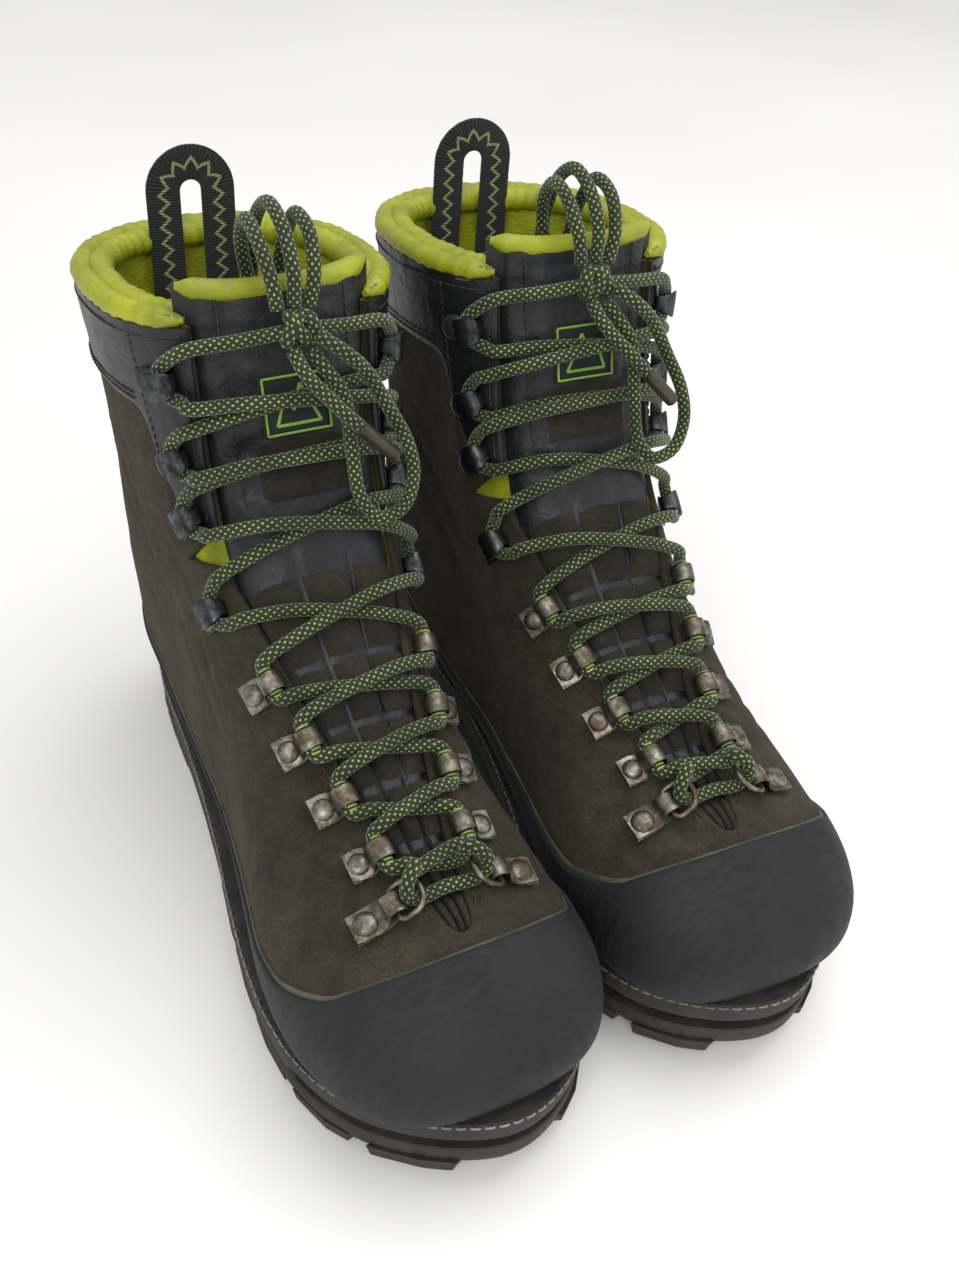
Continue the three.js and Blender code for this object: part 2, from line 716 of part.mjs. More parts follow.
function dRingClip(side) {
  const frame = dRingFrame(side);
  const plate = new THREE.BoxGeometry(15, 11, stripThickness).translate(4, 0, stripLift + stripThickness / 2);
  const sleeve = outline([
    [-3, seat], [3, seat], [3, 5.4], [2, 6.8], [-2, 6.8], [-3, 5.4],
  ]);
  const bore = new THREE.Path();
  bore.absarc(0, ringAxisHeight, ringWire * 0.71 + 0.45, 0, 2 * Math.PI);
  sleeve.holes.push(bore);
  const barrel = new THREE.ExtrudeGeometry(sleeve, { depth: 8, bevelEnabled: false, curveSegments: 4 });
  barrel.translate(0, 0, -4).rotateX(Math.PI / 2);
  return join([toSolid(placed(plate, frame)), toSolid(placed(barrel, frame)), rivet(frame, 7.4, 0)]);
}

function dRing(side) {
  const wire = ringWire;
  const half = 7;
  const dee = new THREE.Shape();
  dee.moveTo(wire / 2, -half);
  dee.lineTo(wire / 2, half);
  dee.lineTo(-ringReach * 0.5, half);
  dee.absellipse(-ringReach * 0.5, 0, ringReach * 0.5, half, Math.PI / 2, Math.PI * 1.5);
  const hole = new THREE.Path();
  hole.moveTo(-wire / 2, wire - half);
  hole.lineTo(-wire / 2, half - wire);
  hole.lineTo(-ringReach * 0.5, half - wire);
  hole.absellipse(-ringReach * 0.5, 0, ringReach * 0.5 - wire, half - wire, Math.PI / 2, Math.PI * 1.5);
  dee.holes.push(hole);
  const geometry = new THREE.ExtrudeGeometry(dee, { depth: wire, bevelEnabled: false, curveSegments: 6 });
  geometry.translate(0, 0, -wire / 2).rotateY(ringTilt).translate(0, 0, ringAxisHeight);
  return toSolid(placed(geometry, dRingFrame(side)));
}

// Leather strip along the throat with four lace loops and their rivets
function eyeletStrip(side) {
  const from = tunnelRows[0] - 0.35;
  const to = tunnelRows[3] + 0.35;
  const strip = panel(from, to, (t) => side * (throatHalf(t) + 0.4),
    (t) => side * (throatHalf(t) + stripWidth), stripLift, stripTop, 2);
  const fittings = tunnelRows.flatMap((t) => {
    const frame = frameOnUpper(t, side * tunnelAcross(t));
    return [tunnelLoop(frame), rivet(frameOnUpper(t, side * (tunnelAcross(t) + 7.6)), 0, 0)];
  });
  return join([strip, ...fittings]);
}

function ankleHook(side) {
  const plate = panel(ankleRow - 0.55, ankleRow + 0.6, (t) => side * (throatHalf(t) + 1),
    (t) => side * (throatHalf(t) + 17), stripLift, stripTop, 2);
  const rivets = [-0.32, 0.38].map((shift) => {
    return rivet(frameOnUpper(ankleRow + shift, side * (throatHalf(ankleRow) + 13.6)), 0, 0);
  });
  return join([plate, openHook(frameOnUpper(ankleRow, side * hookAcross(ankleRow))), ...rivets]);
}

// Leather facing of the cuff with its three hooks
function cuffHookStrip(side) {
  const strip = panel(hookRows[0] - 0.2, lastSection - 0.75, (t) => side * (throatHalf(t) + 0.4),
    (t) => side * (throatHalf(t) + 18), stripLift, stripTop, 2);
  const fittings = hookRows.flatMap((t, index) => {
    const across = side * hookAcross(t);
    const shifts = index === 2 ? [-0.5, 0.6] : [0.85];
    const rivets = shifts.map((shift) => rivet(frameOnUpper(t + shift, across + side * 5.8), 0, 0));
    return [openHook(frameOnUpper(t, across)), ...rivets];
  });
  return join([strip, ...fittings]);
}

// The lace held by the boot, from the D-rings to the knot
function laces() {
  const footRows = [dRingRow, ...tunnelRows, ankleRow];
  const joint = hookLength / 2 - 0.4;
  const climb = (start) => {
    let side = start;
    const points = throughRing(side);
    for (let row = 1; row < footRows.length; row += 1) {
      points.push(...crossing(footRows[row - 1], footRows[row], side, (row + (start > 0)) % 2 === 0));
      side = -side;
      const last = row + 1 === footRows.length;
      points.push(...(last ? roundHook(ankleRow, side).slice(0, 2) : throughTunnel(footRows[row], side)));
    }
    return [...points, besideHook(ankleRow, side, hookLaceX, joint)];
  };
  const bar = onUpper(dRingRow, 0, crossLow + 0.4);
  const foot = [...climb(1).reverse(), bar, ...climb(-1)];

  // Five crossings bring each strand to the other side by the ankle hooks
  const ankle = {};
  const shaft = {};
  for (const [name, start] of [['outer', -1], ['inner', 1]]) {
    const over = name === 'outer';
    ankle[name] = [
      besideHook(ankleRow, start, hookLaceX, joint + gap), ...roundHook(ankleRow, start).slice(2),
      ...crossing(ankleRow, hookRows[0], start, over),
      ...roundHook(hookRows[0], -start).slice(0, 2),
      besideHook(hookRows[0], -start, hookLaceX, -joint - gap),
    ];
    shaft[name] = [
      besideHook(hookRows[0], -start, hookLaceX, -joint), ...roundHook(hookRows[0], -start).slice(2),
      ...crossing(hookRows[0], hookRows[1], -start, !over),
      ...roundHook(hookRows[1], start),
      ...crossing(hookRows[1], hookRows[2], start, over),
      ...roundHook(hookRows[2], -start),
      onUpper(hookRows[2] + 1, -start * throatAtAnkle * 1.02, laceHeight + 1),
      onUpper(hookRows[2] + 1.2, -start * throatAtAnkle * 0.55, laceHeight + 1),
      knotPlace(start * 4, -1, 0),
    ];
  }
  const knot = new THREE.SphereGeometry(1, 8, 6).scale(8.5, 6.5, 6);
  knot.applyMatrix4(knotFrame());
  return {
    lace_lower: heldLace(foot),
    lace_ankle_outer: heldLace(ankle.outer),
    lace_ankle_inner: heldLace(ankle.inner),
    lace_cuff: join([heldLace(shaft.outer), heldLace(shaft.inner), toSolid(knot)]),
  };
}

// Frame of the knot: x across to the inner side, y up the tongue, z off it
function knotFrame() {
  const t = lastSection - 0.15;
  const off = skinNormal(t, Math.PI / 2);
  const across = new THREE.Vector3(1, 0, 0);
  const up = new THREE.Vector3().crossVectors(off, across);
  return new THREE.Matrix4().makeBasis(across, up, off).setPosition(onUpper(t, 0, 8));
}

function knotPlace(x, y, z) {
  return new THREE.Vector3(x, y, z).applyMatrix4(knotFrame());
}

// The free lengths of the bow: a hanging loop, a loop over the tongue and the two ends,
// each as points from the knot; `hang` is the side that the loop hangs to
const bowRoutes = {
  bow_loop_front: [
    [3.2, -7.4, 3.8], [6, -13, 6.8], [11, -22, 8], [12, -40, 8], [13, -58, 9.5],
    [19, -66, 10], [28, -64, 10], [33, -54, 9.5], [32, -42, 9], [26, -28, 8],
    [19, -15, 9], [12, -8, 10.5], [7.6, -4.4, 9], [5.6, -2.6, 6.3],
  ],
  bow_loop_back: [
    [-5.2, 6.6, 0], [-6.5, 16, 1], [-7.5, 28, -5], [-7, 33, -16], [-6, 25, -27], [-2, 10, -32],
    [4, 8, -32], [9, 24, -27], [10, 33, -16], [10, 28, -5], [8, 16, 1], [5.6, 6.5, 0],
  ],
  lace_end_front: [
    [-2.6, -7, 3], [-1, -14, 9], [6, -24, 14.5], [15, -34, 15.5], [25, -44, 13.5],
  ],
  lace_end_back: [
    [0.2, 7.2, 1], [1, 18, 1.5], [1.5, 30, -5], [1.5, 37, -16],
    [1, 33, -28], [0, 18, -38], [-1, 0, -41],
  ],
};

function bow(hang) {
  const solids = {};
  for (const [name, route] of Object.entries(bowRoutes)) {
    solids[name] = freeLace(route.map(([x, y, z]) => knotPlace(hang * x, y, z)));
  }
  return solids;
}

// ---- looks and scene

const leather = { color: 0x1e1f22, roughness: 0.55, metalness: 0 };
const steel = { color: 0x8f8a7d, roughness: 0.4, metalness: 1 };
const looks = {
  outsole: { color: 0x35322e, roughness: 0.85, metalness: 0 },
  midsole: { color: 0x2b2b2c, roughness: 0.8, metalness: 0 },
  rand: { color: 0x2f3033, roughness: 0.75, metalness: 0 },
  upper: { color: 0x454232, roughness: 0.95, metalness: 0 },
  insole_board: { color: 0x8a7a5c, roughness: 0.9, metalness: 0 },
  lining: { color: 0x9a9a18, roughness: 0.9, metalness: 0 },
  footbed: { color: 0x3a3a3c, roughness: 0.9, metalness: 0 },
  cuff: { color: 0x403c2d, roughness: 0.9, metalness: 0 },
  cuff_padding: { color: 0xc0c020, roughness: 0.85, metalness: 0 },
  tongue_lower: { color: 0x33312a, roughness: 0.8, metalness: 0 },
  tongue_upper: leather,
  pull_loop: { color: 0x1b1b1d, roughness: 0.8, metalness: 0 },
  lace: { color: 0x26301c, roughness: 0.8, metalness: 0 },
};

function lookOf(name) {
  if (/lace|bow/.test(name)) return looks.lace;
  if (/strip/.test(name)) return leather;
  return looks[name] ?? steel;
}

const group = new THREE.Group();
const rightBoot = new THREE.Group();
const leftBoot = new THREE.Group();
const mirror = new THREE.Matrix4().makeScale(-1, 1, 1);

const boot = buildBoot();
const rightSolids = { ...boot, ...bow(1) };
const leftSolids = { ...boot, ...bow(-1) };

function addPieces(side, parent, solids, matrix) {
  for (const [name, solid] of Object.entries(solids)) {
    const shape = placed(toGeometry(solid), matrix);
    const mesh = new THREE.Mesh(shape, new THREE.MeshStandardMaterial(lookOf(name)));
    mesh.name = `${side}_${name}`;
    parent.add(mesh);
  }
}

addPieces('right', rightBoot, rightSolids, new THREE.Matrix4());
addPieces('left', leftBoot, leftSolids, mirror);
rightBoot.position.x = -bootSpacing / 2;
leftBoot.position.x = bootSpacing / 2;
leftBoot.rotation.z = leftTurn;
group.add(rightBoot, leftBoot);

// The origin is under the middle of the pair, measured without the free lengths of lace
const extent = new THREE.Box3();
group.updateMatrixWorld(true);
group.traverse((piece) => {
  if (piece.isMesh && !/bow|lace_end/.test(piece.name)) extent.expandByObject(piece, true);
});
const middle = extent.getCenter(new THREE.Vector3()).setZ(extent.min.z);
rightBoot.position.sub(middle);
leftBoot.position.sub(middle);

export default group;
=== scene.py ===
import math

import bmesh
import bpy
import numpy as np
from mathutils import Matrix, Vector, noise


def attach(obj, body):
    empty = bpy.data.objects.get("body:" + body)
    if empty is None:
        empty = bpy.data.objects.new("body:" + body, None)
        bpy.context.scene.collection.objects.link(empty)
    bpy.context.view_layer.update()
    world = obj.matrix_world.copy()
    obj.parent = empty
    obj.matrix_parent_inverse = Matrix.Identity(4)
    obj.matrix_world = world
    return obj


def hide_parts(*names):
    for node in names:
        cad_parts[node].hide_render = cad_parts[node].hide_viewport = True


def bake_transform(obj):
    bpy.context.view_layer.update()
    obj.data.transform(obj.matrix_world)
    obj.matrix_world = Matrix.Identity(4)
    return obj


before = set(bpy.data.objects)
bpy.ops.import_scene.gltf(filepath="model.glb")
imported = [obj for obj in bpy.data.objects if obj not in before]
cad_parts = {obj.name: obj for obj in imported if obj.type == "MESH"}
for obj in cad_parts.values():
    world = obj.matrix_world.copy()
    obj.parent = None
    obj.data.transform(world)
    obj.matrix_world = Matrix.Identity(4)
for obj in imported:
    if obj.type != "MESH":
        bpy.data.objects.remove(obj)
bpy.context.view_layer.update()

# Lengths are millimetres until a mesh is made, and each piece is shaped in the right boot's frame:
# heel at +Y, outer side toward -X. The left boot is its mirror image, turned a little.
boots = {
    "right": {"x": -55.824, "turn": 0.0, "mirror": 1},
    "left": {"x": 56.176, "turn": -3.0, "mirror": -1},
}
sole = {"length": 312, "midsoleTop": 27, "spring": 14, "springStart": 225, "grooveReach": 62}
throat = {"toe": 4, "ankle": 31, "startAlong": 261, "fullHeight": 150}
hinge = {"along": 75, "height": 106, "reach": 95, "edgeHeight": 169, "openDegrees": 8.5}
lace = {"radius": 2.4, "gap": 0.5, "plait": 2.8, "step": 1.3, "sides": 12, "tip": 2.6}
rows = {"ring": 250, "tunnels": [231, 210, 190, 171], "ankle": 146, "hooks": [173, 189.5, 211]}
fitting = {"lift": 0.68, "strip": 1.2, "ringWire": 2.2, "ringReach": 12.5, "ringTilt": 20, "ringAxis": 3.8,
           "hookNeck": -1.2, "hookIn": 8, "tunnelIn": 4.6}

heelY = sole["length"] / 2
stripTop = fitting["lift"] + fitting["strip"]
laceHeight = stripTop + lace["gap"] + lace["radius"]
hookLaceX = fitting["hookNeck"] + lace["gap"] + lace["radius"]

# Sections of the upper from toe to collar, the same as in the CAD model:
# instep along, instep height, back along, back height, outer, inner, middle, top, bottom
sections = np.array([
    [304, 43, 305, 34, 12, 12, 0.5, 2.0, 2.2], [299, 55, 301, 27, 28, 27, 0.45, 2.1, 2.6],
    [289, 66, 293, 24, 40, 38, 0.4, 2.2, 3.4], [274, 75, 280, 24, 48, 45, 0.38, 2.2, 4.0],
    [258, 80, 263, 24, 53, 48, 0.36, 2.2, 4.5], [240, 85, 244, 24, 55, 49, 0.35, 2.2, 5.0],
    [220, 92, 222, 24, 54, 47, 0.35, 2.3, 5.0], [202, 101, 198, 24, 50, 43, 0.35, 2.5, 5.0],
    [187, 111, 172, 24, 46, 40, 0.36, 2.8, 4.6], [173, 121, 143, 24, 43, 38, 0.38, 3.0, 4.2],
    [161, 132, 112, 24, 42, 39, 0.4, 3.2, 4.0], [151, 144, 80, 24, 42, 40, 0.42, 3.2, 3.6],
    [143, 156, 48, 24, 42, 41, 0.44, 3.2, 3.2], [137, 167, 20, 27, 43, 42, 0.46, 3.2, 2.8],
    [132, 178, 4, 48, 44, 43, 0.48, 3.1, 2.5], [128, 188, 0, 80, 45, 44, 0.5, 2.9, 2.3],
    [125, 198, 2, 115, 46, 45, 0.5, 2.8, 2.2], [122, 208, 4, 150, 48, 47, 0.5, 2.7, 2.2],
    [119, 217, 4, 183, 50, 49, 0.5, 2.7, 2.2], [117, 224, 3, 212, 52, 51, 0.5, 2.7, 2.2],
])
lastSection = len(sections) - 1
soleOutline = np.array([
    [0.5, 5, 5], [5, 17, 17], [18, 29, 29], [38, 36, 36], [62, 38.5, 37], [90, 40, 35],
    [120, 43, 34], [150, 47, 36.5], [178, 52, 41], [205, 56, 46.5], [228, 57.5, 50.5],
    [250, 56, 51], [268, 51, 48], [284, 42, 41.5], [297, 29.5, 31], [306, 17, 19], [311.5, 5, 6],
])


def spline(table, t):
    # Catmull-Rom through the rows of the table, straight beyond the last row
    t = np.asarray(t, float)
    last = len(table) - 1
    index = np.clip(np.floor(t).astype(int), 0, last - 1)
    u = (t - index)[..., None]
    p1, p2 = table[index], table[index + 1]
    p0 = np.where((index > 0)[..., None], table[np.maximum(index - 1, 0)], 2 * p1 - p2)
    p3 = np.where((index + 2 <= last)[..., None], table[np.minimum(index + 2, last)], 2 * p2 - p1)
    bend = 2 * p0 - 5 * p1 + 4 * p2 - p3
    inside = p1 + 0.5 * u * (p2 - p0 + u * (bend + u * (3 * (p1 - p2) + p3 - p0)))
    return np.where((t > last)[..., None], p2 + (p2 - p1) * (t[..., None] - last), inside)


def spring(along):
    share = np.maximum(along - sole["springStart"], 0) / (sole["length"] - sole["springStart"])
    return sole["spring"] * share ** 2


def skinPoint(t, turn):
    t, turn = np.broadcast_arrays(np.asarray(t, float), np.asarray(turn, float))
    da, dz, ba, bz, outer, inner, middle, top, bottom = np.moveaxis(spline(sections, t), -1, 0)
    cos, sin = np.cos(turn), np.sin(turn)
    power = 2 / np.where(sin > 0, top, bottom)
    across = np.sign(cos) * np.abs(cos) ** power * np.where(cos > 0, outer, inner)
    rise = np.sign(sin) * np.abs(sin) ** power * np.where(sin > 0, 1 - middle, middle)
    share = middle + rise
    along = ba + (da - ba) * share
    return np.stack([-across, heelY - along, bz + (dz - bz) * share + spring(along)], -1)


def unit(v):
    v = np.asarray(v, float)
    return v / np.maximum(np.linalg.norm(v, axis=-1, keepdims=True), 1e-12)


def skinNormal(t, turn):
    step = 0.02
    along = skinPoint(t + step, turn) - skinPoint(t - step, turn)
    around = skinPoint(t, turn + step) - skinPoint(t, turn - step)
    return unit(np.cross(around, along))


def rowWhere(column, value):
    t = np.linspace(0, lastSection, 4001)
    here = spline(sections, t)[:, column]
    return float(t[np.argmin(np.abs(here - value))])


ringRow = rowWhere(0, rows["ring"])
tunnelRows = [rowWhere(0, along) for along in rows["tunnels"]]
ankleRow = rowWhere(1, rows["ankle"])
hookRows = [rowWhere(1, height) for height in rows["hooks"]]
throatStart = rowWhere(0, throat["startAlong"])
throatFull = rowWhere(1, throat["fullHeight"])


def throatHalf(t):
    share = np.clip((np.asarray(t, float) - throatStart) / (throatFull - throatStart), 0, 1)
    return throat["toe"] + (throat["ankle"] - throat["toe"]) * share


def turnAt(t, across):
    # angle round the section at a distance from the instep line, measured over the surface
    t, across = np.broadcast_arrays(np.asarray(t, float), np.asarray(across, float))
    values = spline(sections, t)
    width = np.where(across > 0, values[..., 4], values[..., 5])
    inGap = np.minimum(np.abs(across), throatHalf(t))
    turn = np.arccos((inGap / width) ** (values[..., 7] / 2))
    left = np.abs(across) - inGap
    step = 0.01
    while np.any(left > 0):
        here = skinPoint(t, np.where(across > 0, turn, math.pi - turn))
        there = skinPoint(t, np.where(across > 0, turn - step, math.pi - turn + step))
        stride = np.linalg.norm(here - there, axis=-1)
        turn = turn - step * np.clip(left / stride, 0, 1)
        left = left - stride
    return np.where(across > 0, turn, math.pi - turn)


def onUpper(t, across, height):
    turn = turnAt(t, across)
    return skinPoint(t, turn) + skinNormal(t, turn) * np.asarray(height, float)[..., None]


def frameOnUpper(t, across):
    # columns: away from the lacing gap, up the boot, off the surface, origin
    side = math.copysign(1, across)
    off = skinNormal(t, turnAt(t, across))
    out = unit(onUpper(t, across + side * 0.5, 0) - onUpper(t, across - side * 0.5, 0))
    return np.column_stack([out, -side * np.cross(off, out), off, onUpper(t, across, 0)])


def placed(place, points):
    return np.asarray(points, float) @ place[:, :3].T + place[:, 3]


def worldPoints(side, points):
    boot = boots[side]
    turn = math.radians(boot["turn"])
    x, y, z = (np.asarray(points, float) * [boot["mirror"], 1, 1]).T
    turned = [math.cos(turn) * x - math.sin(turn) * y + boot["x"],
              math.sin(turn) * x + math.cos(turn) * y, z]
    return np.column_stack(turned) / 1000


def addPiece(name, side, shape, material, body, stands=(), sharp=40):
    # shape is points, faces and, for a patterned piece, one texture place for each face corner
    points, faces, places = (*shape, None)[:3]
    if boots[side]["mirror"] < 0:
        faces = [face[::-1] for face in faces]
        places = places and [place[::-1] for place in places]
    title = f"{side}-{name}".replace("_", "-")
    mesh = bpy.data.meshes.new(title)
    mesh.from_pydata(worldPoints(side, points).tolist(), [], faces)
    if places:
        layer = mesh.uv_layers.new(name="pattern")
        layer.data.foreach_set("uv", np.array([xy for place in places for xy in place], float).ravel())
    faceOutward(mesh)
    mesh.polygons.foreach_set("use_smooth", [True] * len(mesh.polygons))
    mesh.set_sharp_from_angle(angle=math.radians(sharp))
    mesh.materials.append(material)
    piece = bpy.data.objects.new(title, mesh)
    bpy.context.scene.collection.objects.link(piece)
    if isinstance(body, tuple):
        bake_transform(piece)
    else:
        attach(piece, f"{side}_{body}")
    if stands:
        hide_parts(*[f"{side}_{node}" for node in stands])
    return piece


def faceOutward(mesh):
    work = bmesh.new()
    work.from_mesh(mesh)
    bmesh.ops.recalc_face_normals(work, faces=work.faces)
    work.to_mesh(mesh)
    work.free()


def joined(shapes):
    points, faces, places, count = [], [], [], 0
    for shape in shapes:
        points.append(np.asarray(shape[0], float))
        faces += [[i + count for i in face] for face in shape[1]]
        places += shape[2] if len(shape) > 2 else [[(0, 0)] * len(face) for face in shape[1]]
        count += len(shape[0])
    return np.concatenate(points), faces, places


def runOf(points):
    return np.concatenate([[0], np.cumsum(np.linalg.norm(np.diff(points, axis=0), axis=1))])


def smoothRoute(points, step, centripetal=0.5):
    # centripetal Catmull-Rom curve through the points, cut into equal steps
    p = np.asarray(points, float)
    p = np.vstack([2 * p[0] - p[1], p, 2 * p[-1] - p[-2]])
    fine = []
    for i in range(1, len(p) - 2):
        knots = np.concatenate([[0], np.cumsum(np.linalg.norm(np.diff(p[i - 1:i + 3], axis=0),
                                                              axis=1) ** centripetal)])
        t = np.linspace(knots[1], knots[2], 24, endpoint=False)[:, None]
        level = [p[i - 1 + k] for k in range(4)]
        a = [(knots[k + 1] - t) / (knots[k + 1] - knots[k]) * level[k]
             + (t - knots[k]) / (knots[k + 1] - knots[k]) * level[k + 1] for k in range(3)]
        b = [(knots[k + 2] - t) / (knots[k + 2] - knots[k]) * a[k]
             + (t - knots[k]) / (knots[k + 2] - knots[k]) * a[k + 1] for k in range(2)]
        share = (t - knots[1]) / (knots[2] - knots[1])
        fine.append((1 - share) * b[0] + share * b[1])
    fine = np.vstack([*fine, p[-2:-1]])
    run = runOf(fine)
    even = np.linspace(0, run[-1], max(int(run[-1] / step), 2) + 1)
    return np.column_stack([np.interp(even, run, fine[:, k]) for k in range(3)])


def tube(route, radius, sides=12, scale=1.0, start=0.0, loop=False):
    # round tube; texture places are length along (in plait lengths) and share around
    route = np.asarray(route, float)
    count = len(route)
    radii = np.broadcast_to(radius, count)
    if loop:
        ahead, behind = np.roll(route, -1, 0), np.roll(route, 1, 0)
    else:
        ahead, behind = np.vstack([route[1:], route[-1:]]), np.vstack([route[:1], route[:-1]])
    along = unit(ahead - behind)
    side = unit(np.cross(along[0], [0.3, 0.2, 0.93]))
    points = []
    for i in range(count):
        side = unit(side - along[i] * (side @ along[i]))
        other = np.cross(along[i], side)
        angles = 2 * math.pi * np.arange(sides) / sides
        ring = np.cos(angles)[:, None] * side + np.sin(angles)[:, None] * other
        points.append(route[i] + radii[i] * ring)
    run = start + np.concatenate([runOf(route), [0]]) / scale
    run[-1] = run[-2] + np.linalg.norm(route[0] - route[-1]) / scale
    faces, places = [], []
    for i in range(count if loop else count - 1):
        for k in range(sides):
            a, b = i * sides + k, i * sides + (k + 1) % sides
            c = (i + 1) % count * sides
            faces.append([a, b, c + (k + 1) % sides, c + k])
            places.append([(run[i], k / sides), (run[i], (k + 1) / sides),
                           (run[i + 1], (k + 1) / sides), (run[i + 1], k / sides)])
    if not loop:
        for end, ring in ((0, list(range(sides))[::-1]), (count - 1, list(range(sides)))):
            faces.append([end * sides + k for k in ring])
            places.append([(run[end], 0.5)] * sides)
    return np.concatenate(points), faces, places


def gridFaces(high, wide, base=0):
    return [[base + i * wide + j, base + i * wide + j + 1, base + (i + 1) * wide + j + 1,
             base + (i + 1) * wide + j]
            for i in range(high - 1) for j in range(wide - 1)]


def slabShape(top, bottom, places=None):
    # closed body between two grids of points of the same size
    high, wide = top.shape[:2]
    count = high * wide
    upper = gridFaces(high, wide)
    lower = [face[::-1] for face in gridFaces(high, wide, count)]
    edge = ([j for j in range(wide)] + [i * wide + wide - 1 for i in range(1, high)]
            + [(high - 1) * wide + j for j in range(wide - 2, -1,
                                                    -1)] + [i * wide for i in range(high - 2, 0, -1)])
    rim = [[edge[k], edge[k] + count, edge[(k + 1) % len(edge)] + count, edge[(k + 1) % len(edge)]]
           for k in range(len(edge))]
    points = np.concatenate([top.reshape(-1, 3), bottom.reshape(-1, 3)])
    faces = upper + lower + rim
    if places is None:
        return points, faces
    flat = np.concatenate([places.reshape(-1, 2), places.reshape(-1, 2)])
    return points, faces, [[tuple(flat[i]) for i in face] for face in faces]


def sheetPart(profile, widths, thickness, columns=6, step=0.6):
    # bent sheet metal: a centre line in x and z with a width at each of its points
    profile = np.asarray(profile, float)
    line = smoothRoute(np.column_stack([profile[:, 0], np.zeros(len(profile)), profile[:, 1]]), step)
    run = runOf(line)
    coarse = runOf(np.column_stack([profile, np.zeros(len(profile))]))
    wide = np.interp(run / run[-1], coarse / coarse[-1], widths)
    direction = unit(np.gradient(line, axis=0))
    normal = np.column_stack([-direction[:, 2], np.zeros(len(line)), direction[:, 0]])
    shares = np.linspace(-0.5, 0.5, columns + 1)
    edge = 1 - 0.35 * (np.abs(shares) * 2) ** 6
    across = np.array([0, 1.0, 0]) * (shares[None, :] * wide[:, None])[..., None]
    half = thickness / 2 * edge[None, :, None]
    top = line[:, None] + across + normal[:, None] * half
    bottom = line[:, None] + across - normal[:, None] * half
    return slabShape(top, bottom)


def lathed(profile, turns=24):
    # closed turned body from radius and height pairs that begin and end on the axis
    profile = np.asarray(profile, float)
    angles = 2 * math.pi * np.arange(turns) / turns
    rings = [np.column_stack([r * np.cos(angles), r * np.sin(angles), np.full(turns, z)]) for r,
             z in profile[1:-1]]
    points = np.concatenate([*rings, [[0, 0, profile[0][1]], [0, 0, profile[-1][1]]]])
    faces = [[i * turns + j, i * turns + (j + 1) % turns, (i + 1) * turns + (j + 1) % turns,
              (i + 1) * turns + j]
             for i in range(len(rings) - 1) for j in range(turns)]
    first, last = len(points) - 2, len(points) - 1
    top = (len(rings) - 1) * turns
    faces += [[first, (j + 1) % turns, j] for j in range(turns)]
    faces += [[last, top + j, top + (j + 1) % turns] for j in range(turns)]
    return points, faces


view = {"x": -0.1925, "y": -0.3296, "z": 0.4092, "yaw": 30.94, "pitch": 38.88, "roll": 5.18, "lens": 47.9}


def makeCamera():
    yaw, pitch, roll = (math.radians(view[k]) for k in ("yaw", "pitch", "roll"))
    ahead = Vector((math.sin(yaw) * math.cos(pitch), math.cos(yaw) * math.cos(pitch), -math.sin(pitch)))
    right = Vector((math.cos(yaw), -math.sin(yaw), 0))
    up = right.cross(ahead)
    turned = Matrix((right * math.cos(roll) + up * math.sin(roll),
                     up * math.cos(roll) - right * math.sin(roll), -ahead)).transposed()
    data = bpy.data.cameras.new("camera")
    data.sensor_fit = "HORIZONTAL"
    data.sensor_width = 36
    data.lens = view["lens"]
    camera = bpy.data.objects.new("camera", data)
    camera.matrix_world = Matrix.Translation((view["x"], view["y"], view["z"])) @ turned.to_4x4()
    bpy.context.scene.collection.objects.link(camera)
    bpy.context.scene.camera = camera


lights = {
    "window": {"place": (-0.9, -1.1, 1.5), "size": 1.1, "power": 15},
    "ceiling": {"place": (0.5, 0.1, 1.9), "size": 1.4, "power": 16},
    "fill": {"place": (1.2, -1.0, 0.7), "size": 0.9, "power": 3.5},
}


def makeLights():
    for name, light in lights.items():
        data = bpy.data.lights.new(name, "AREA")
        data.size = light["size"]
        data.energy = light["power"]
        lamp = bpy.data.objects.new(name, data)
        lamp.location = light["place"]
        lamp.rotation_euler = (Vector((0, 0, 0.1)) - lamp.location).to_track_quat("-Z", "Y").to_euler()
        bpy.context.scene.collection.objects.link(lamp)
    world = bpy.data.worlds.new("studio")
    world.use_nodes = True
    world.node_tree.nodes["Background"].inputs["Color"].default_value = (1, 1, 1, 1)
    world.node_tree.nodes["Background"].inputs["Strength"].default_value = 0.62
    bpy.context.scene.world = world
    bpy.context.scene.view_settings.view_transform = "Standard"


def colour(text):
    values = [int(text[i:i + 2], 16) / 255 for i in (1, 3, 5)]
    return (*[v / 12.92 if v <= 0.04045 else ((v + 0.055) / 1.055) ** 2.4 for v in values], 1)


def addNode(material, kind, settings=None, links=None, stops=None):
    # adds a node, sets its options or constants, joins its inputs, and gives its first output
    node = material.node_tree.nodes.new("ShaderNode" + kind)
    for key, value in (settings or {}).items():
        if isinstance(key, str) and hasattr(node, key):
            setattr(node, key, value)
        else:
            node.inputs[key].default_value = value
    for key, source in (links or {}).items():
        material.node_tree.links.new(source, node.inputs[key])
    if stops:
        ramp = node.color_ramp.elements
        while len(ramp) < len(stops):
            ramp.new(0.5)
        for element, (place, text) in zip(ramp, stops):
            element.position = place
            element.color = colour(text) if isinstance(text, str) else (text, text, text, 1)
    return node.outputs[2] if kind == "Mix" else node.outputs[0]


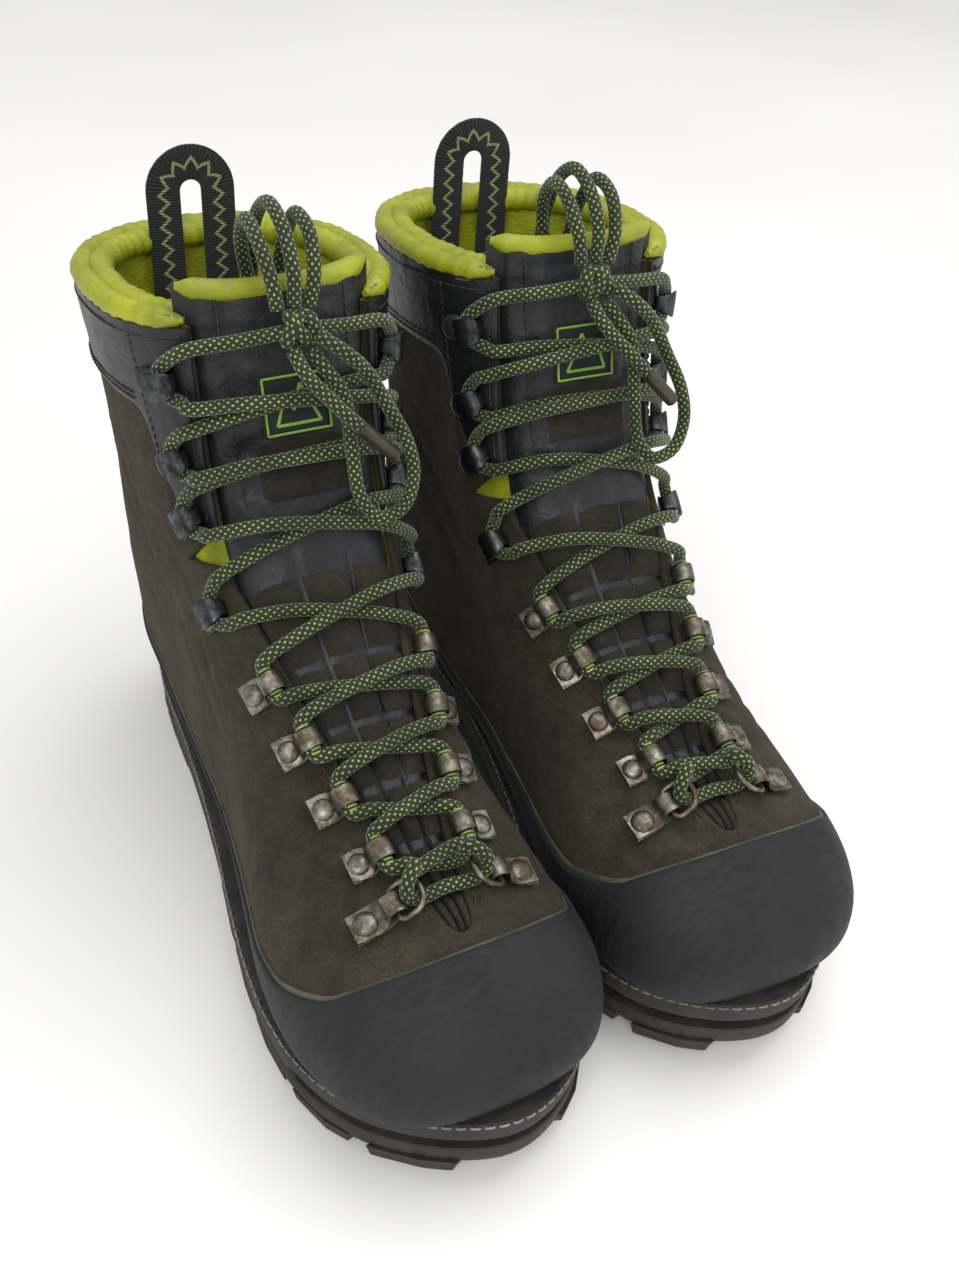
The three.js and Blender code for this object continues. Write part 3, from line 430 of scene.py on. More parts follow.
def newMaterial(name, **shader):
    material = bpy.data.materials.new(name)
    material.use_nodes = True
    principled = material.node_tree.nodes["Principled BSDF"]
    for key, value in shader.items():
        socket = {"base": "Base Color", "roughness": "Roughness", "metallic": "Metallic", "ior": "IOR",
                  "sheen": "Sheen Weight", "sheenRoughness": "Sheen Roughness", "sheenTint": "Sheen Tint",
                  "coat": "Coat Weight", "coatRoughness": "Coat Roughness"}[key]
        principled.inputs[socket].default_value = colour(value) if isinstance(value, str) else value
    return material, principled.inputs


def objectPlace(material):
    coordinates = material.node_tree.nodes.new("ShaderNodeTexCoord")
    return coordinates.outputs["Object"]


def cells(millimetres):
    return 1000 / millimetres    # texture scale for a pattern repeating every so many millimetres


def sueded(name, dark, middle, lit, nap=1.1):
    # sueded split leather: buffed fibres, so no shine, blotchy where the nap has been brushed or worn
    material, inputs = newMaterial(name, roughness=0.95, ior=1.45, sheen=0.25, sheenRoughness=0.55,
                                   sheenTint=lit)
    place = objectPlace(material)
    blotch = addNode(material, "TexNoise", {"Scale": cells(34), "Detail": 5.0, "Roughness": 0.6},
                     {"Vector": place})
    brushed = addNode(material, "TexNoise", {"Scale": cells(7), "Detail": 4.0, "Roughness": 0.65},
                      {"Vector": place})
    # a real nap is about 0.3 mm; it is drawn coarser so that it shows
    fibres = addNode(material, "TexNoise", {"Scale": cells(nap), "Detail": 3.0, "Roughness": 0.7},
                     {"Vector": place})
    tone = addNode(material, "ValToRGB", None, {0: blotch}, [(0.3, dark), (0.5, middle), (0.72, lit)])
    patch = addNode(material, "ValToRGB", None, {0: brushed}, [(0.35, dark), (0.65, lit)])
    mixed = addNode(material, "Mix", {"data_type": "RGBA", 0: 0.35}, {6: tone, 7: patch})
    speck = addNode(material, "ValToRGB", None, {0: fibres}, [(0.25, 0.35), (0.5, 0.75), (0.75, 1.25)])
    shade = addNode(material, "Mix", {"data_type": "RGBA", "blend_type": "MULTIPLY", 0: 0.85},
                    {6: mixed, 7: speck})
    material.node_tree.links.new(shade, inputs["Base Color"])
    rough = addNode(material, "Bump", {"Strength": 0.7, "Distance": 0.0007}, {"Height": fibres})
    soft = addNode(material, "Bump", {"Strength": 0.5, "Distance": 0.0012},
                   {"Height": brushed, "Normal": rough})
    material.node_tree.links.new(soft, inputs["Normal"])
    return material


def grained(name, dark, lit, roughness=0.5, grain=1.6, wrinkle=9.0):
    # full-grain leather, pigmented and embossed: pebbled cells with creases, a dull sheen on the high
    # spots, and painted shade that darkens the colour in the creases
    material, inputs = newMaterial(name, ior=1.5, coat=0.08, coatRoughness=0.35)
    place = objectPlace(material)
    pebble = addNode(material, "TexVoronoi", {"Scale": cells(grain), "feature": "SMOOTH_F1"},
                     {"Vector": place})
    folds = addNode(material, "TexNoise", {"Scale": cells(wrinkle), "Detail": 4.0, "Distortion": 0.8},
                    {"Vector": place})
    dust = addNode(material, "TexNoise", {"Scale": cells(22), "Detail": 6.0, "Roughness": 0.65},
                   {"Vector": place})
    tone = addNode(material, "ValToRGB", None, {0: dust}, [(0.38, dark), (0.7, lit)])
    # the fold noise that raises the creases also darkens the colour where it lies low: painted shade in the
    # creases
    shade = addNode(material, "Mix", {"data_type": "RGBA", "blend_type": "MULTIPLY", 0: 0.25},
                    {6: tone, 7: folds})
    material.node_tree.links.new(shade, inputs["Base Color"])
    gloss = addNode(material, "MapRange", {3: roughness - 0.12, 4: roughness + 0.2}, {0: dust})
    material.node_tree.links.new(gloss, inputs["Roughness"])
    fine = addNode(material, "Bump", {"Strength": 0.35, "Distance": 0.0003}, {"Height": pebble})
    broad = addNode(material, "Bump", {"Strength": 0.55, "Distance": 0.0014},
                    {"Height": folds, "Normal": fine})
    material.node_tree.links.new(broad, inputs["Normal"])
    return material


def moulded(name, dark, dusty, roughness, streaks=2.2):
    # vulcanised rubber: smooth from the mould, then scuffed, with fine dust left in the scratches
    material, inputs = newMaterial(name, ior=1.52)
    place = objectPlace(material)
    stretch = addNode(material, "Mapping", {"Scale": (0.35, 1.0, 0.12)}, {"Vector": place})
    scuffs = addNode(material, "TexNoise", {"Scale": cells(streaks), "Detail": 6.0, "Roughness": 0.75},
                     {"Vector": stretch})
    dust = addNode(material, "TexNoise", {"Scale": cells(26), "Detail": 6.0, "Roughness": 0.6},
                   {"Vector": place})
    grit = addNode(material, "TexNoise", {"Scale": cells(0.9), "Detail": 2.0}, {"Vector": place})
    both = addNode(material, "Math", {"operation": "MULTIPLY"}, {0: scuffs, 1: dust})
    tone = addNode(material, "ValToRGB", None, {0: both}, [(0.14, dark), (0.42, dusty)])
    material.node_tree.links.new(tone, inputs["Base Color"])
    gloss = addNode(material, "MapRange", {1: 0.3, 2: 0.7, 3: roughness - 0.12, 4: roughness + 0.15},
                    {0: scuffs})
    material.node_tree.links.new(gloss, inputs["Roughness"])
    fine = addNode(material, "Bump", {"Strength": 0.25, "Distance": 0.0003}, {"Height": grit})
    worn = addNode(material, "Bump", {"Strength": 0.3, "Distance": 0.0005},
                   {"Height": scuffs, "Normal": fine})
    material.node_tree.links.new(worn, inputs["Normal"])
    return material


def wovenLining(name, deep, bright, thread=0.9):
    # brushed polyester lining: close plain weave, soft, a little grubby where a foot rubs
    material, inputs = newMaterial(name, roughness=0.85, ior=1.5, sheen=0.3, sheenTint=bright)
    place = objectPlace(material)
    warp = addNode(material, "TexWave", {"bands_direction": "Z", "Scale": cells(thread * 6.3)},
                   {"Vector": place})
    weft = addNode(material, "TexWave", {"bands_direction": "DIAGONAL", "Scale": cells(thread * 6.3)},
                   {"Vector": place})
    grime = addNode(material, "TexNoise", {"Scale": cells(18), "Detail": 5.0}, {"Vector": place})
    tone = addNode(material, "ValToRGB", None, {0: grime}, [(0.32, deep), (0.6, bright)])
    weave = addNode(material, "Math", {"operation": "MULTIPLY"}, {0: warp, 1: weft})
    shade = addNode(material, "ValToRGB", None, {0: weave}, [(0.0, 0.8), (0.6, 1.0)])
    mixed = addNode(material, "Mix", {"data_type": "RGBA", "blend_type": "MULTIPLY", 0: 0.6},
                    {6: tone, 7: shade})
    material.node_tree.links.new(mixed, inputs["Base Color"])
    bump = addNode(material, "Bump", {"Strength": 0.4, "Distance": 0.0004}, {"Height": weave})
    material.node_tree.links.new(bump, inputs["Normal"])
    return material


def braidedLace(name, worn=False):
    # round braided polyester cord: dark sheath with light tracer yarns that show as rows of dots;
    # where a fitting rubs, the tracers spread into cross bands
    material, inputs = newMaterial(name, roughness=0.75, ior=1.5, sheen=0.2)
    pattern = addNode(material, "UVMap", {"uv_map": "pattern"})
    split = material.node_tree.nodes.new("ShaderNodeSeparateXYZ")
    material.node_tree.links.new(pattern, split.inputs[0])
    around = addNode(material, "Math", {"operation": "MULTIPLY", 1: 6.0}, {0: split.outputs[1]})
    squares = []
    for operation in ("ADD", "SUBTRACT"):
        lattice = addNode(material, "Math", {"operation": operation}, {0: split.outputs[0], 1: around})
        share = addNode(material, "Math", {"operation": "FRACT"}, {0: lattice})
        centred = addNode(material, "Math", {"operation": "SUBTRACT", 1: 0.5}, {0: share})
        squares.append(addNode(material, "Math", {"operation": "MULTIPLY"}, {0: centred, 1: centred}))
    distance = addNode(material, "Math", {"operation": "ADD"}, {0: squares[0], 1: squares[1]})
    dots = addNode(material, "ValToRGB", None, {0: distance}, [(0.035, 1.0), (0.06, 0.0)])
    if worn:
        beat = addNode(material, "Math", {"operation": "MULTIPLY", 1: 12.0}, {0: split.outputs[0]})
        wave = addNode(material, "Math", {"operation": "SINE"}, {0: beat})
        dots = addNode(material, "ValToRGB", None, {0: wave}, [(0.0, 0.0), (0.25, 1.0)])
    place = objectPlace(material)
    fade = addNode(material, "TexNoise", {"Scale": cells(11), "Detail": 3.0}, {"Vector": place})
    tracer = addNode(material, "ValToRGB", None, {0: fade}, [(0.35, "#6d8c28"), (0.65, "#a3b04c")])
    yarn = addNode(material, "ValToRGB", None, {0: fade}, [(0.4, "#10160d"), (0.7, "#1e2a15")])
    mixed = addNode(material, "Mix", {"data_type": "RGBA"}, {0: dots, 6: yarn, 7: tracer})
    material.node_tree.links.new(mixed, inputs["Base Color"])
    bump = addNode(material, "Bump", {"Strength": 0.6, "Distance": 0.0004}, {"Height": distance})
    material.node_tree.links.new(bump, inputs["Normal"])
    return material


def platedSteel(name, clean, tarnish, roughness, spots="#6b4a2c"):
    # pressed steel, plated and tumbled: bright where rubbed, dull and rusty where the plating has gone
    material, inputs = newMaterial(name, metallic=1.0)
    place = objectPlace(material)
    wear = addNode(material, "TexNoise", {"Scale": cells(4.5), "Detail": 6.0, "Roughness": 0.7},
                   {"Vector": place})
    scratch = addNode(material, "TexNoise", {"Scale": cells(0.8), "Detail": 3.0}, {"Vector": place})
    tone = addNode(material, "ValToRGB", None, {0: wear}, [(0.34, spots), (0.44, tarnish), (0.62, clean)])
    material.node_tree.links.new(tone, inputs["Base Color"])
    gloss = addNode(material, "MapRange", {1: 0.3, 2: 0.7, 3: roughness + 0.22, 4: roughness - 0.08},
                    {0: wear})
    material.node_tree.links.new(gloss, inputs["Roughness"])
    bump = addNode(material, "Bump", {"Strength": 0.25, "Distance": 0.0002}, {"Height": scratch})
    material.node_tree.links.new(bump, inputs["Normal"])
    return material


def webbingTape(name):
    # woven nylon tape: black ribs with a light zigzag yarn along the middle
    material, inputs = newMaterial(name, roughness=0.7, ior=1.5, sheen=0.15)
    pattern = addNode(material, "UVMap", {"uv_map": "pattern"})
    split = material.node_tree.nodes.new("ShaderNodeSeparateXYZ")
    material.node_tree.links.new(pattern, split.inputs[0])
    zig = addNode(material, "Math", {"operation": "PINGPONG", 1: 3.0}, {0: split.outputs[0]})
    swing = addNode(material, "MapRange", {1: 0.0, 2: 3.0, 3: 0.36, 4: 0.64}, {0: zig})
    off = addNode(material, "Math", {"operation": "SUBTRACT"}, {0: split.outputs[1], 1: swing})
    distance = addNode(material, "Math", {"operation": "ABSOLUTE"}, {0: off})
    line = addNode(material, "ValToRGB", None, {0: distance}, [(0.05, 1.0), (0.075, 0.0)])
    beat = addNode(material, "Math", {"operation": "MULTIPLY", 1: 6.0}, {0: split.outputs[0]})
    ribs = addNode(material, "Math", {"operation": "SINE"}, {0: beat})
    black = addNode(material, "ValToRGB", None, {0: ribs}, [(0.0, "#0d0d0f"), (1.0, "#25262a")])
    mixed = addNode(material, "Mix", {"data_type": "RGBA", 7: colour("#8d9063")}, {0: line, 6: black})
    material.node_tree.links.new(mixed, inputs["Base Color"])
    bump = addNode(material, "Bump", {"Strength": 0.5, "Distance": 0.0003}, {"Height": ribs})
    material.node_tree.links.new(bump, inputs["Normal"])
    return material


def paleFloor():
    material, inputs = newMaterial("matt white board", roughness=0.9)
    place = objectPlace(material)
    haze = addNode(material, "TexNoise", {"Scale": 2.0}, {"Vector": place})
    tone = addNode(material, "ValToRGB", None, {0: haze}, [(0.3, "#f2f1ef"), (0.7, "#faf9f7")])
    material.node_tree.links.new(tone, inputs["Base Color"])
    return material


def makeFloor():
    mesh = bpy.data.meshes.new("floor")
    mesh.from_pydata([(-6, -6, 0), (6, -6, 0), (6, 6, 0), (-6, 6, 0)], [], [[0, 1, 2, 3]])
    mesh.materials.append(paleFloor())
    floor = bpy.data.objects.new("floor", mesh)
    bpy.context.scene.collection.objects.link(floor)
    return floor


finish = {
    "suede": sueded("sueded split leather", "#211f16", "#343123", "#4c4734"),
    "tongueSuede": sueded("sueded tongue leather", "#1f1d16", "#2e2b21", "#3f3c2f"),
    "black": grained("grained black leather", "#0f1012", "#1f2124", 0.44),
    "padded": grained("soft black leather", "#101113", "#212327", 0.48, 1.3, 6.0),
    "rawEdge": grained("raw leather edge", "#3d3c30", "#66634f", 0.75, 0.8),
    "rand": moulded("moulded rand rubber", "#0c0d0e", "#1e1f20", 0.72),
    "midsole": moulded("moulded midsole rubber", "#161515", "#3c3935", 0.7),
    "outsole": moulded("carbon rubber lugs", "#161412", "#403b35", 0.76),
    "lining": wovenLining("woven yellow lining", "#7c820f", "#aeb418"),
    "piping": grained("yellow coated fabric piping", "#8e9410", "#b6bd1d", 0.46, 0.9, 7.0),
    "lace": braidedLace("braided polyester lace"),
    "wornLace": braidedLace("rubbed polyester lace", worn=True),
    "nickel": platedSteel("tumbled nickel plated steel", "#8f8b80", "#5f5a4e", 0.4),
    "gunmetal": platedSteel("dark nickel plated steel", "#5b5d5f", "#3a3b3d", 0.36, "#332c26"),
    "thread": grained("bonded nylon thread", "#201f1a", "#3f3d33", 0.6, 0.6),
    "paleThread": grained("pale nylon thread", "#6d6f58", "#a3a586", 0.6, 0.6),
    "webbing": webbingTape("woven nylon tape"),
    "label": grained("dark woven label", "#12161a", "#20262b", 0.7, 0.7),
    "greenThread": grained("green embroidery thread", "#6fae2c", "#a5d455", 0.55, 0.6),
    "tip": grained("dark shrunk plastic tip", "#1c1a14", "#4a452f", 0.3, 2.0),
    "felt": sueded("pressed felt footbed", "#1d1d1f", "#2b2b2e", "#3c3c3f"),
    "board": sueded("pressed fibre board", "#6f5f43", "#8a7a5c", "#9c8d6f"),
}


def hookAcross(t):
    return float(throatHalf(t)) + fitting["hookIn"]


def tunnelAcross(t):
    return float(throatHalf(t)) + fitting["tunnelIn"]


def besideHook(t, side, x, y):
    return placed(frameOnUpper(t, side * hookAcross(t)), [x, y, laceHeight])


def roundHook(t, side):
    place = frameOnUpper(t, side * hookAcross(t))
    return [placed(place, [x, y, laceHeight]) for x, y in ((-4, -7.4), (1.7, -3.6), (1.7, 3.6), (-4, 7.4))]


def throughTunnel(t, side):
    place = frameOnUpper(t, side * tunnelAcross(t))
    return [placed(place, [0, y, laceHeight]) for y in (-6.3, 6.3)]


def ringFrame(side):
    return frameOnUpper(ringRow, side * (float(throatHalf(ringRow)) + fitting["ringReach"]))


def crossing(lower, upper, side, over):
    # strand across the gap, leaving the lower row on one side and reaching the upper row on the other
    span = np.linalg.norm(onUpper(upper, 0.0, 0.0) - onUpper(lower, 0.0, 0.0))
    slope = (0.5 - 7.4 / span) / 1.1
    heights = [laceHeight + 2.6, 8.1, 8.1] if over else [laceHeight + 0.5, 3.2, 2.8]
    points = []
    for i, share in enumerate((1.02, 0.62, 0.35, -0.35, -0.62, -1.02)):
        t = lower + (upper - lower) * (0.5 - slope * share)
        points.append(onUpper(t, side * share * float(throatHalf(t)), heights[min(i, 5 - i)]))
    return points


def climb(start):
    ring = ringFrame(start)
    through = [[-9.6, -0.8, 2.9], [-5.9, 0, 7], [-7.5, 2, 11.5], [-12, 5.5, 12.5]]
    points = [placed(ring, p) for p in through]
    line = [ringRow, *tunnelRows, ankleRow]
    side = start
    for row in range(1, 6):
        points += crossing(line[row - 1], line[row], side, (row + (start > 0)) % 2 == 0)
        side = -side
        points += throughTunnel(line[row], side) if row < 5 else roundHook(line[row], side)[:2]
    return [*points, besideHook(ankleRow, side, hookLaceX, 1.6)]


def knotFrame():
    t = 18.85
    off = skinNormal(t, math.pi / 2)
    across = np.array([1.0, 0, 0])
    return np.column_stack([across, np.cross(off, across), off, onUpper(t, 0.0, 8.0)])


bows = {
    "bow_loop_front": [
        [3.2, -7.4, 3.8], [6, -13, 6.8], [11, -22, 8], [12, -40, 8], [13, -58, 9.5], [19, -66,
                                                                                      10], [28, -64, 10],
        [33, -54, 9.5], [32, -42, 9], [26, -28, 8], [19, -15, 9], [12, -8, 10.5], [7.6, -4.4,
                                                                                   9], [5.6, -2.6, 6.3]],
    "bow_loop_back": [
        [-5.2, 6.6, 0], [-6.5, 16, 1], [-7.5, 28, -5], [-7, 33, -16], [-6, 25, -27], [-2, 10, -32],
        [4, 8, -32], [9, 24, -27], [10, 33, -16], [10, 28, -5], [8, 16, 1], [5.6, 6.5, 0]],
    "lace_end_front": [[-2.6, -7, 3], [-1, -14, 9], [6, -24, 14.5], [15, -34, 15.5], [25, -44, 13.5]],
    "lace_end_back": [[0.2, 7.2, 1], [1, 18, 1.5], [1.5, 30, -5], [1.5, 37, -16], [1, 33, -28],
                      [0, 18, -38],
                      [-1, 0, -41]],
}


def lacePiece(name, side, routes, body):
    shapes = [tube(smoothRoute(route, lace["step"]), lace["radius"], lace["sides"],
                   lace["plait"]) for route in routes]
    return addPiece(name, side, joined(shapes), finish["lace"], body, [name], 80)


def makeLaces(side):
    lower = climb(1)[::-1] + [onUpper(ringRow, 0.0, 3.2)] + climb(-1)
    lacePiece("lace_lower", side, [lower], "lower")
    # the sheath is rubbed through to its tracers where it runs in the loops
    rubbed = []
    for t in tunnelRows:
        for sign in (-1, 1):
            line = placed(frameOnUpper(t, sign * tunnelAcross(t)),
                          [[0, y, laceHeight] for y in np.linspace(-5.8, 5.8, 12)])
            rubbed.append(tube(line, lace["radius"] + 0.06, lace["sides"], lace["plait"]))
    addPiece("rubbed_lace", side, joined(rubbed), finish["wornLace"], "lower")
    first, second, third = hookRows
    shafts = []
    for name, start, over in (("outer", -1, True), ("inner", 1, False)):
        ankle = [besideHook(ankleRow, start, hookLaceX, 1.9), *roundHook(ankleRow, start)[2:],
                 *crossing(ankleRow, first, start, over), *roundHook(first, -start)[:2],
                 besideHook(first, -start, hookLaceX, -1.9)]
        lacePiece(f"lace_ankle_{name}", side, [ankle], ("lower", "cuff"))
        shafts.append([
            besideHook(first, -start, hookLaceX, -1.6), *roundHook(first, -start)[2:],
            *crossing(first, second, -start, not over), *roundHook(second, start),
            *crossing(second, third, start, over), *roundHook(third, -start),
            onUpper(third + 1, -start * 31 * 1.02, laceHeight + 1),
            onUpper(third + 1.2, -start * 31 * 0.55, laceHeight + 1),
            placed(knotFrame(), [start * 4, -1, 0])])
    wraps = []
    for turn, lean in ((0.0, 0.9), (2.1, -0.5), (4.2, 0.4)):
        a = np.linspace(0, 2 * math.pi, 15)[:-1]
        wraps.append(placed(knotFrame(), np.column_stack([
            3.2 * np.sin(a + turn) + lean * 2.2, 4.0 * np.cos(a), 3.0 * np.sin(a) * math.cos(lean) + 1.4])))
    knot = [tube(wrap, lace["radius"], lace["sides"], lace["plait"], loop=True) for wrap in wraps]
    strands = [tube(smoothRoute(s, lace["step"]), lace["radius"], lace["sides"],
                    lace["plait"]) for s in shafts]
    addPiece("lace_cuff", side, joined(strands + knot), finish["lace"], "cuff", ["lace_cuff"], 80)


def makeBow(side):
    hang = boots[side]["mirror"]
    for name, points in bows.items():
        route = smoothRoute(placed(knotFrame(), np.array(points) * [hang, 1, 1]), lace["step"])
        piece = addPiece(name, side, tube(route, lace["radius"], lace["sides"], lace["plait"]),
                         finish["lace"],
                         "cuff", [name], 80)
        tips = []
        if name.startswith("lace_end"):
            tip = tube(route[-14:], lace["tip"], 12)
            tips = [addPiece(f"{name}_aglet", side, tip, finish["tip"], "cuff")]


skin = {"rowStep": 0.2, "columns": 152, "relief": 0.45, "creases": 0.9, "suede": 2.2, "rand": 2.1,
        "collar": 1.4, "lining": 2.6, "band": 32, "rounded": 7.0, "notch": 6.5, "notchReach": 24}


def randTop(along):
    return np.interp(along, [20, 60, 110, 165, 205, 240, 262, 276, 284, 288],
                     [58, 50, 43, 42, 46, 53, 63, 80, 105, 130])


def skinGrid():
    t = np.arange(0, lastSection + 0.01, skin["rowStep"])
    half = skin["columns"] // 2
    fine = np.linspace(-math.pi / 2, math.pi / 2, 400)
    points, normals, across = [], [], []
    for row in t:
        turns = []
        for low in (-math.pi / 2, math.pi / 2):
            line = skinPoint(row, fine + (low + math.pi / 2))
            run = runOf(line)
            turns.append(np.interp(np.arange(half) / half * run[-1], run, fine + (low + math.pi / 2)))
        turn = np.concatenate(turns)
        here = skinPoint(row, turn)
        # distance from the instep line: straight across the gap, then over the surface
        reach = np.zeros(len(turn))
        gap = float(throatHalf(row))
        for cols, sign in ((np.arange(half, -1, -1), 1), (np.arange(half, 2 * half), -1)):
            line = here[cols % (2 * half)]
            width = np.abs(line[:, 0])
            run = runOf(line)
            edge = np.interp(gap, width[:8 * half // 10],
                             run[:8 * half // 10]) if width.max() > gap else run[-1]
            reach[cols % (2 * half)] = np.where(run < edge, width, gap + run - edge) * sign
        points.append(here)
        normals.append(skinNormal(row, turn))
        across.append(reach)
    points, normals, across = np.array(points), np.array(normals), np.array(across)
    steps = np.linalg.norm(np.diff(points, axis=0), axis=2)
    down = np.vstack([np.cumsum(steps[::-1], axis=0)[::-1], np.zeros((1, points.shape[1]))])
    grid = np.broadcast_to(t[:, None], across.shape)
    return points, normals, across, down, grid


def reliefOf(points, along, height):
    value = np.array([noise.noise(Vector(p) / 17) + 0.5 * noise.noise(Vector(p) / 7) for p in points])
    creases = np.zeros(len(points))
    for where, depth in ((208, 1.0), (199, 0.8), (216, 0.7)):    # folds behind the toes
        wander = np.array([noise.noise(Vector((p[0], 0, where)) / 19) for p in points])
        creases -= depth * np.exp(-((along - where - 4 * wander) / 2.2) ** 2) * (height > 50)
    for level, depth in ((122, 0.9), (137, 1.1), (150, 0.7)):    # folds round the ankle
        wander = np.array([noise.noise(Vector((p[0], p[1], level)) / 23) for p in points])
        fall = height - level + (along - 75) * 0.55 + 5 * wander
        creases -= depth * np.exp(-(fall / 2.8) ** 2) * (along < 150)
    return skin["relief"] * value + skin["creases"] * creases


def buildSkin(start):
    points, normals, across, down, grid = start
    high, wide = across.shape
    flat = points.reshape(-1, 3)
    normal = normals.reshape(-1, 3)
    across, down, t = across.ravel(), down.ravel(), grid.ravel()
    along = heelY - flat[:, 1]
    height = flat[:, 2] - spring(along)
    gap = throatHalf(t)
    before = along - throat["startAlong"]
    inThroat = np.where(before > 0, np.hypot(np.abs(across), before) - throat["toe"], np.abs(across) - gap)
    rise = math.radians(33.55 + hinge["openDegrees"] / 2)
    middle = hinge["height"] + (along - hinge["along"]) * math.tan(rise)
    fromMiddle = np.abs(flat[:, 2] - middle) * math.cos(rise)
    notch = skin["notch"] * (1 - (np.abs(across) - gap) / skin["notchReach"]) - fromMiddle
    rand = (randTop(along) - height) * 0.85
    facing = gap + np.interp(height, [150, 172, 185], [14, 24, 26]) - np.abs(across)
    facing = np.minimum(facing, (height - 152) * 0.8)
    band = skin["band"] - down
    rounded = skin["rounded"]
    black = np.maximum(band, facing) + rounded * 0.25 * np.maximum(1 - np.abs(band - facing) / rounded,
                                                                   0) ** 2
    keep = {"throat": inThroat, "notch": -notch, "rand": rand, "black": black, "down": down,
            "ground": flat[:, 2] - sole["midsoleTop"] - 0.3 - spring(along), "t": t, "across": across}
    relief = reliefOf(flat, along, height)
    moved = flat + normal * (relief * np.clip(inThroat / 6, 0, 1) * np.clip((height - 45) / 20, 0,
                                                                            1))[:, None]
    names = list(keep)
    data = np.column_stack([moved, normal, *[keep[name] for name in names]])
    faces = [[i * wide + j, i * wide + (j + 1) % wide, (i + 1) * wide + (j + 1) % wide, (i + 1) * wide + j]
             for i in range(high - 1) for j in range(wide)]
    # the toe's end is closed by a fan
    data = np.vstack([data, data[:wide].mean(0)])
    data[-1, 3:6] = (0, -1, 0.3)
    faces += [[high * wide, (j + 1) % wide, j] for j in range(wide)]
    return data, faces, {name: 6 + k for k, name in enumerate(names)}


def cutAt(data, faces, values, level, both=False):
    # parts the faces where the value crosses the level; keeps the side above it, or both sides
    high = values - level
    extra, made, kept = [], {}, []
    for face in faces:
        signs = [high[i] > 0 for i in face]
        if all(signs) or (both and not any(signs)):
            kept.append(face)
            continue
        if not any(signs):
            continue
        above, below = [], []
        for k, i in enumerate(face):
            j = face[(k + 1) % len(face)]
            (above if signs[k] else below).append(i)
            if signs[k] != signs[(k + 1) % len(face)]:
                key = (min(i, j), max(i, j))
                if key not in made:
                    a, b = key
                    share = high[a] / (high[a] - high[b])
                    made[key] = len(data) + len(extra)
                    extra.append(data[a] + (data[b] - data[a]) * share)
                above.append(made[key])
                below.append(made[key])
        for part in (above, below) if both else (above,):
            if len(part) > 2:
                kept.append(part)
    data = np.vstack([data, extra]) if extra else data
    used = sorted({i for face in kept for i in face})
    number = {i: k for k, i in enumerate(used)}
    return data[used], [[number[i] for i in face] for face in kept]


def carve(base, cuts, low, high, edge=1.2):
    # cuts: field, sign and level; then two more splits near each edge to round it over
    data, faces, column = base
    for name, sign, level in cuts:
        data, faces = cutAt(data, faces, sign * data[:, column[name]], sign * level)
    for share in (0.3, 1.0):
        for name, sign, level in cuts:
            data, faces = cutAt(data, faces, sign * (data[:, column[name]] - level), share * edge, True)
    near = np.min([sign * (data[:, column[name]] - level) for name, sign, level in cuts], axis=0)
    share = np.clip(near / edge, 0, 1)
    top = low + (high - low) * (0.45 + 0.55 * np.sqrt(1 - (1 - share) ** 2))
    normal = unit(data[:, 3:6])
    outer = data[:, :3] + normal * top[:, None]
    inner = data[:, :3] + normal * np.broadcast_to(low, len(data))[:, None]
    count = len(data)
    shell = faces + [[i + count for i in face[::-1]] for face in faces]
    edges = {}
    for face in faces:
        for k, i in enumerate(face):
            edges[(i, face[(k + 1) % len(face)])] = True
    shell += [[j, i, i + count, j + count] for i, j in edges if (j, i) not in edges]
    return np.concatenate([outer, inner]), shell


def stitched(route, normals, pitch=3.1, length=2.2, radius=0.34, lift=0.15):
    # short threads lying end to end along a seam
    run = runOf(route)
    shapes = []
    for start in np.arange(0.5, run[-1] - length, pitch):
        ends = np.linspace(start, start + length, 4)
        line = np.column_stack([np.interp(ends, run, route[:, k]) for k in range(3)])
        off = unit(np.column_stack([np.interp(ends, run, normals[:, k]) for k in range(3)]))
        shapes.append(tube(line + off * (lift * np.array([-1, 1, 1, -1]))[:, None], radius, 5))
    return joined(shapes)


def seam(ts, across, height):
    ts, across = np.broadcast_arrays(np.asarray(ts, float), np.asarray(across, float))
    turn = turnAt(ts, across)
    normal = skinNormal(ts, turn)
    return skinPoint(ts, turn) + normal * height, normal


def seamDown(base, level, low, high, lift):
    # seam at a fixed distance below the collar, between two distances from the gap
    points, normals, across, down = base[:4]
    route, offs = [], []
    for j in range(across.shape[1]):
        column = down[:, j][::-1]
        share = [np.interp(level, column, points[::-1, j, k]) for k in range(3)]
        reach = np.interp(level, column, across[::-1, j])
        if low < abs(reach) < high:
            off = unit([np.interp(level, column, normals[::-1, j, k]) for k in range(3)])
            route.append([*(np.array(share) + off * lift), reach])
            offs.append(off)
    return np.array(route), np.array(offs)


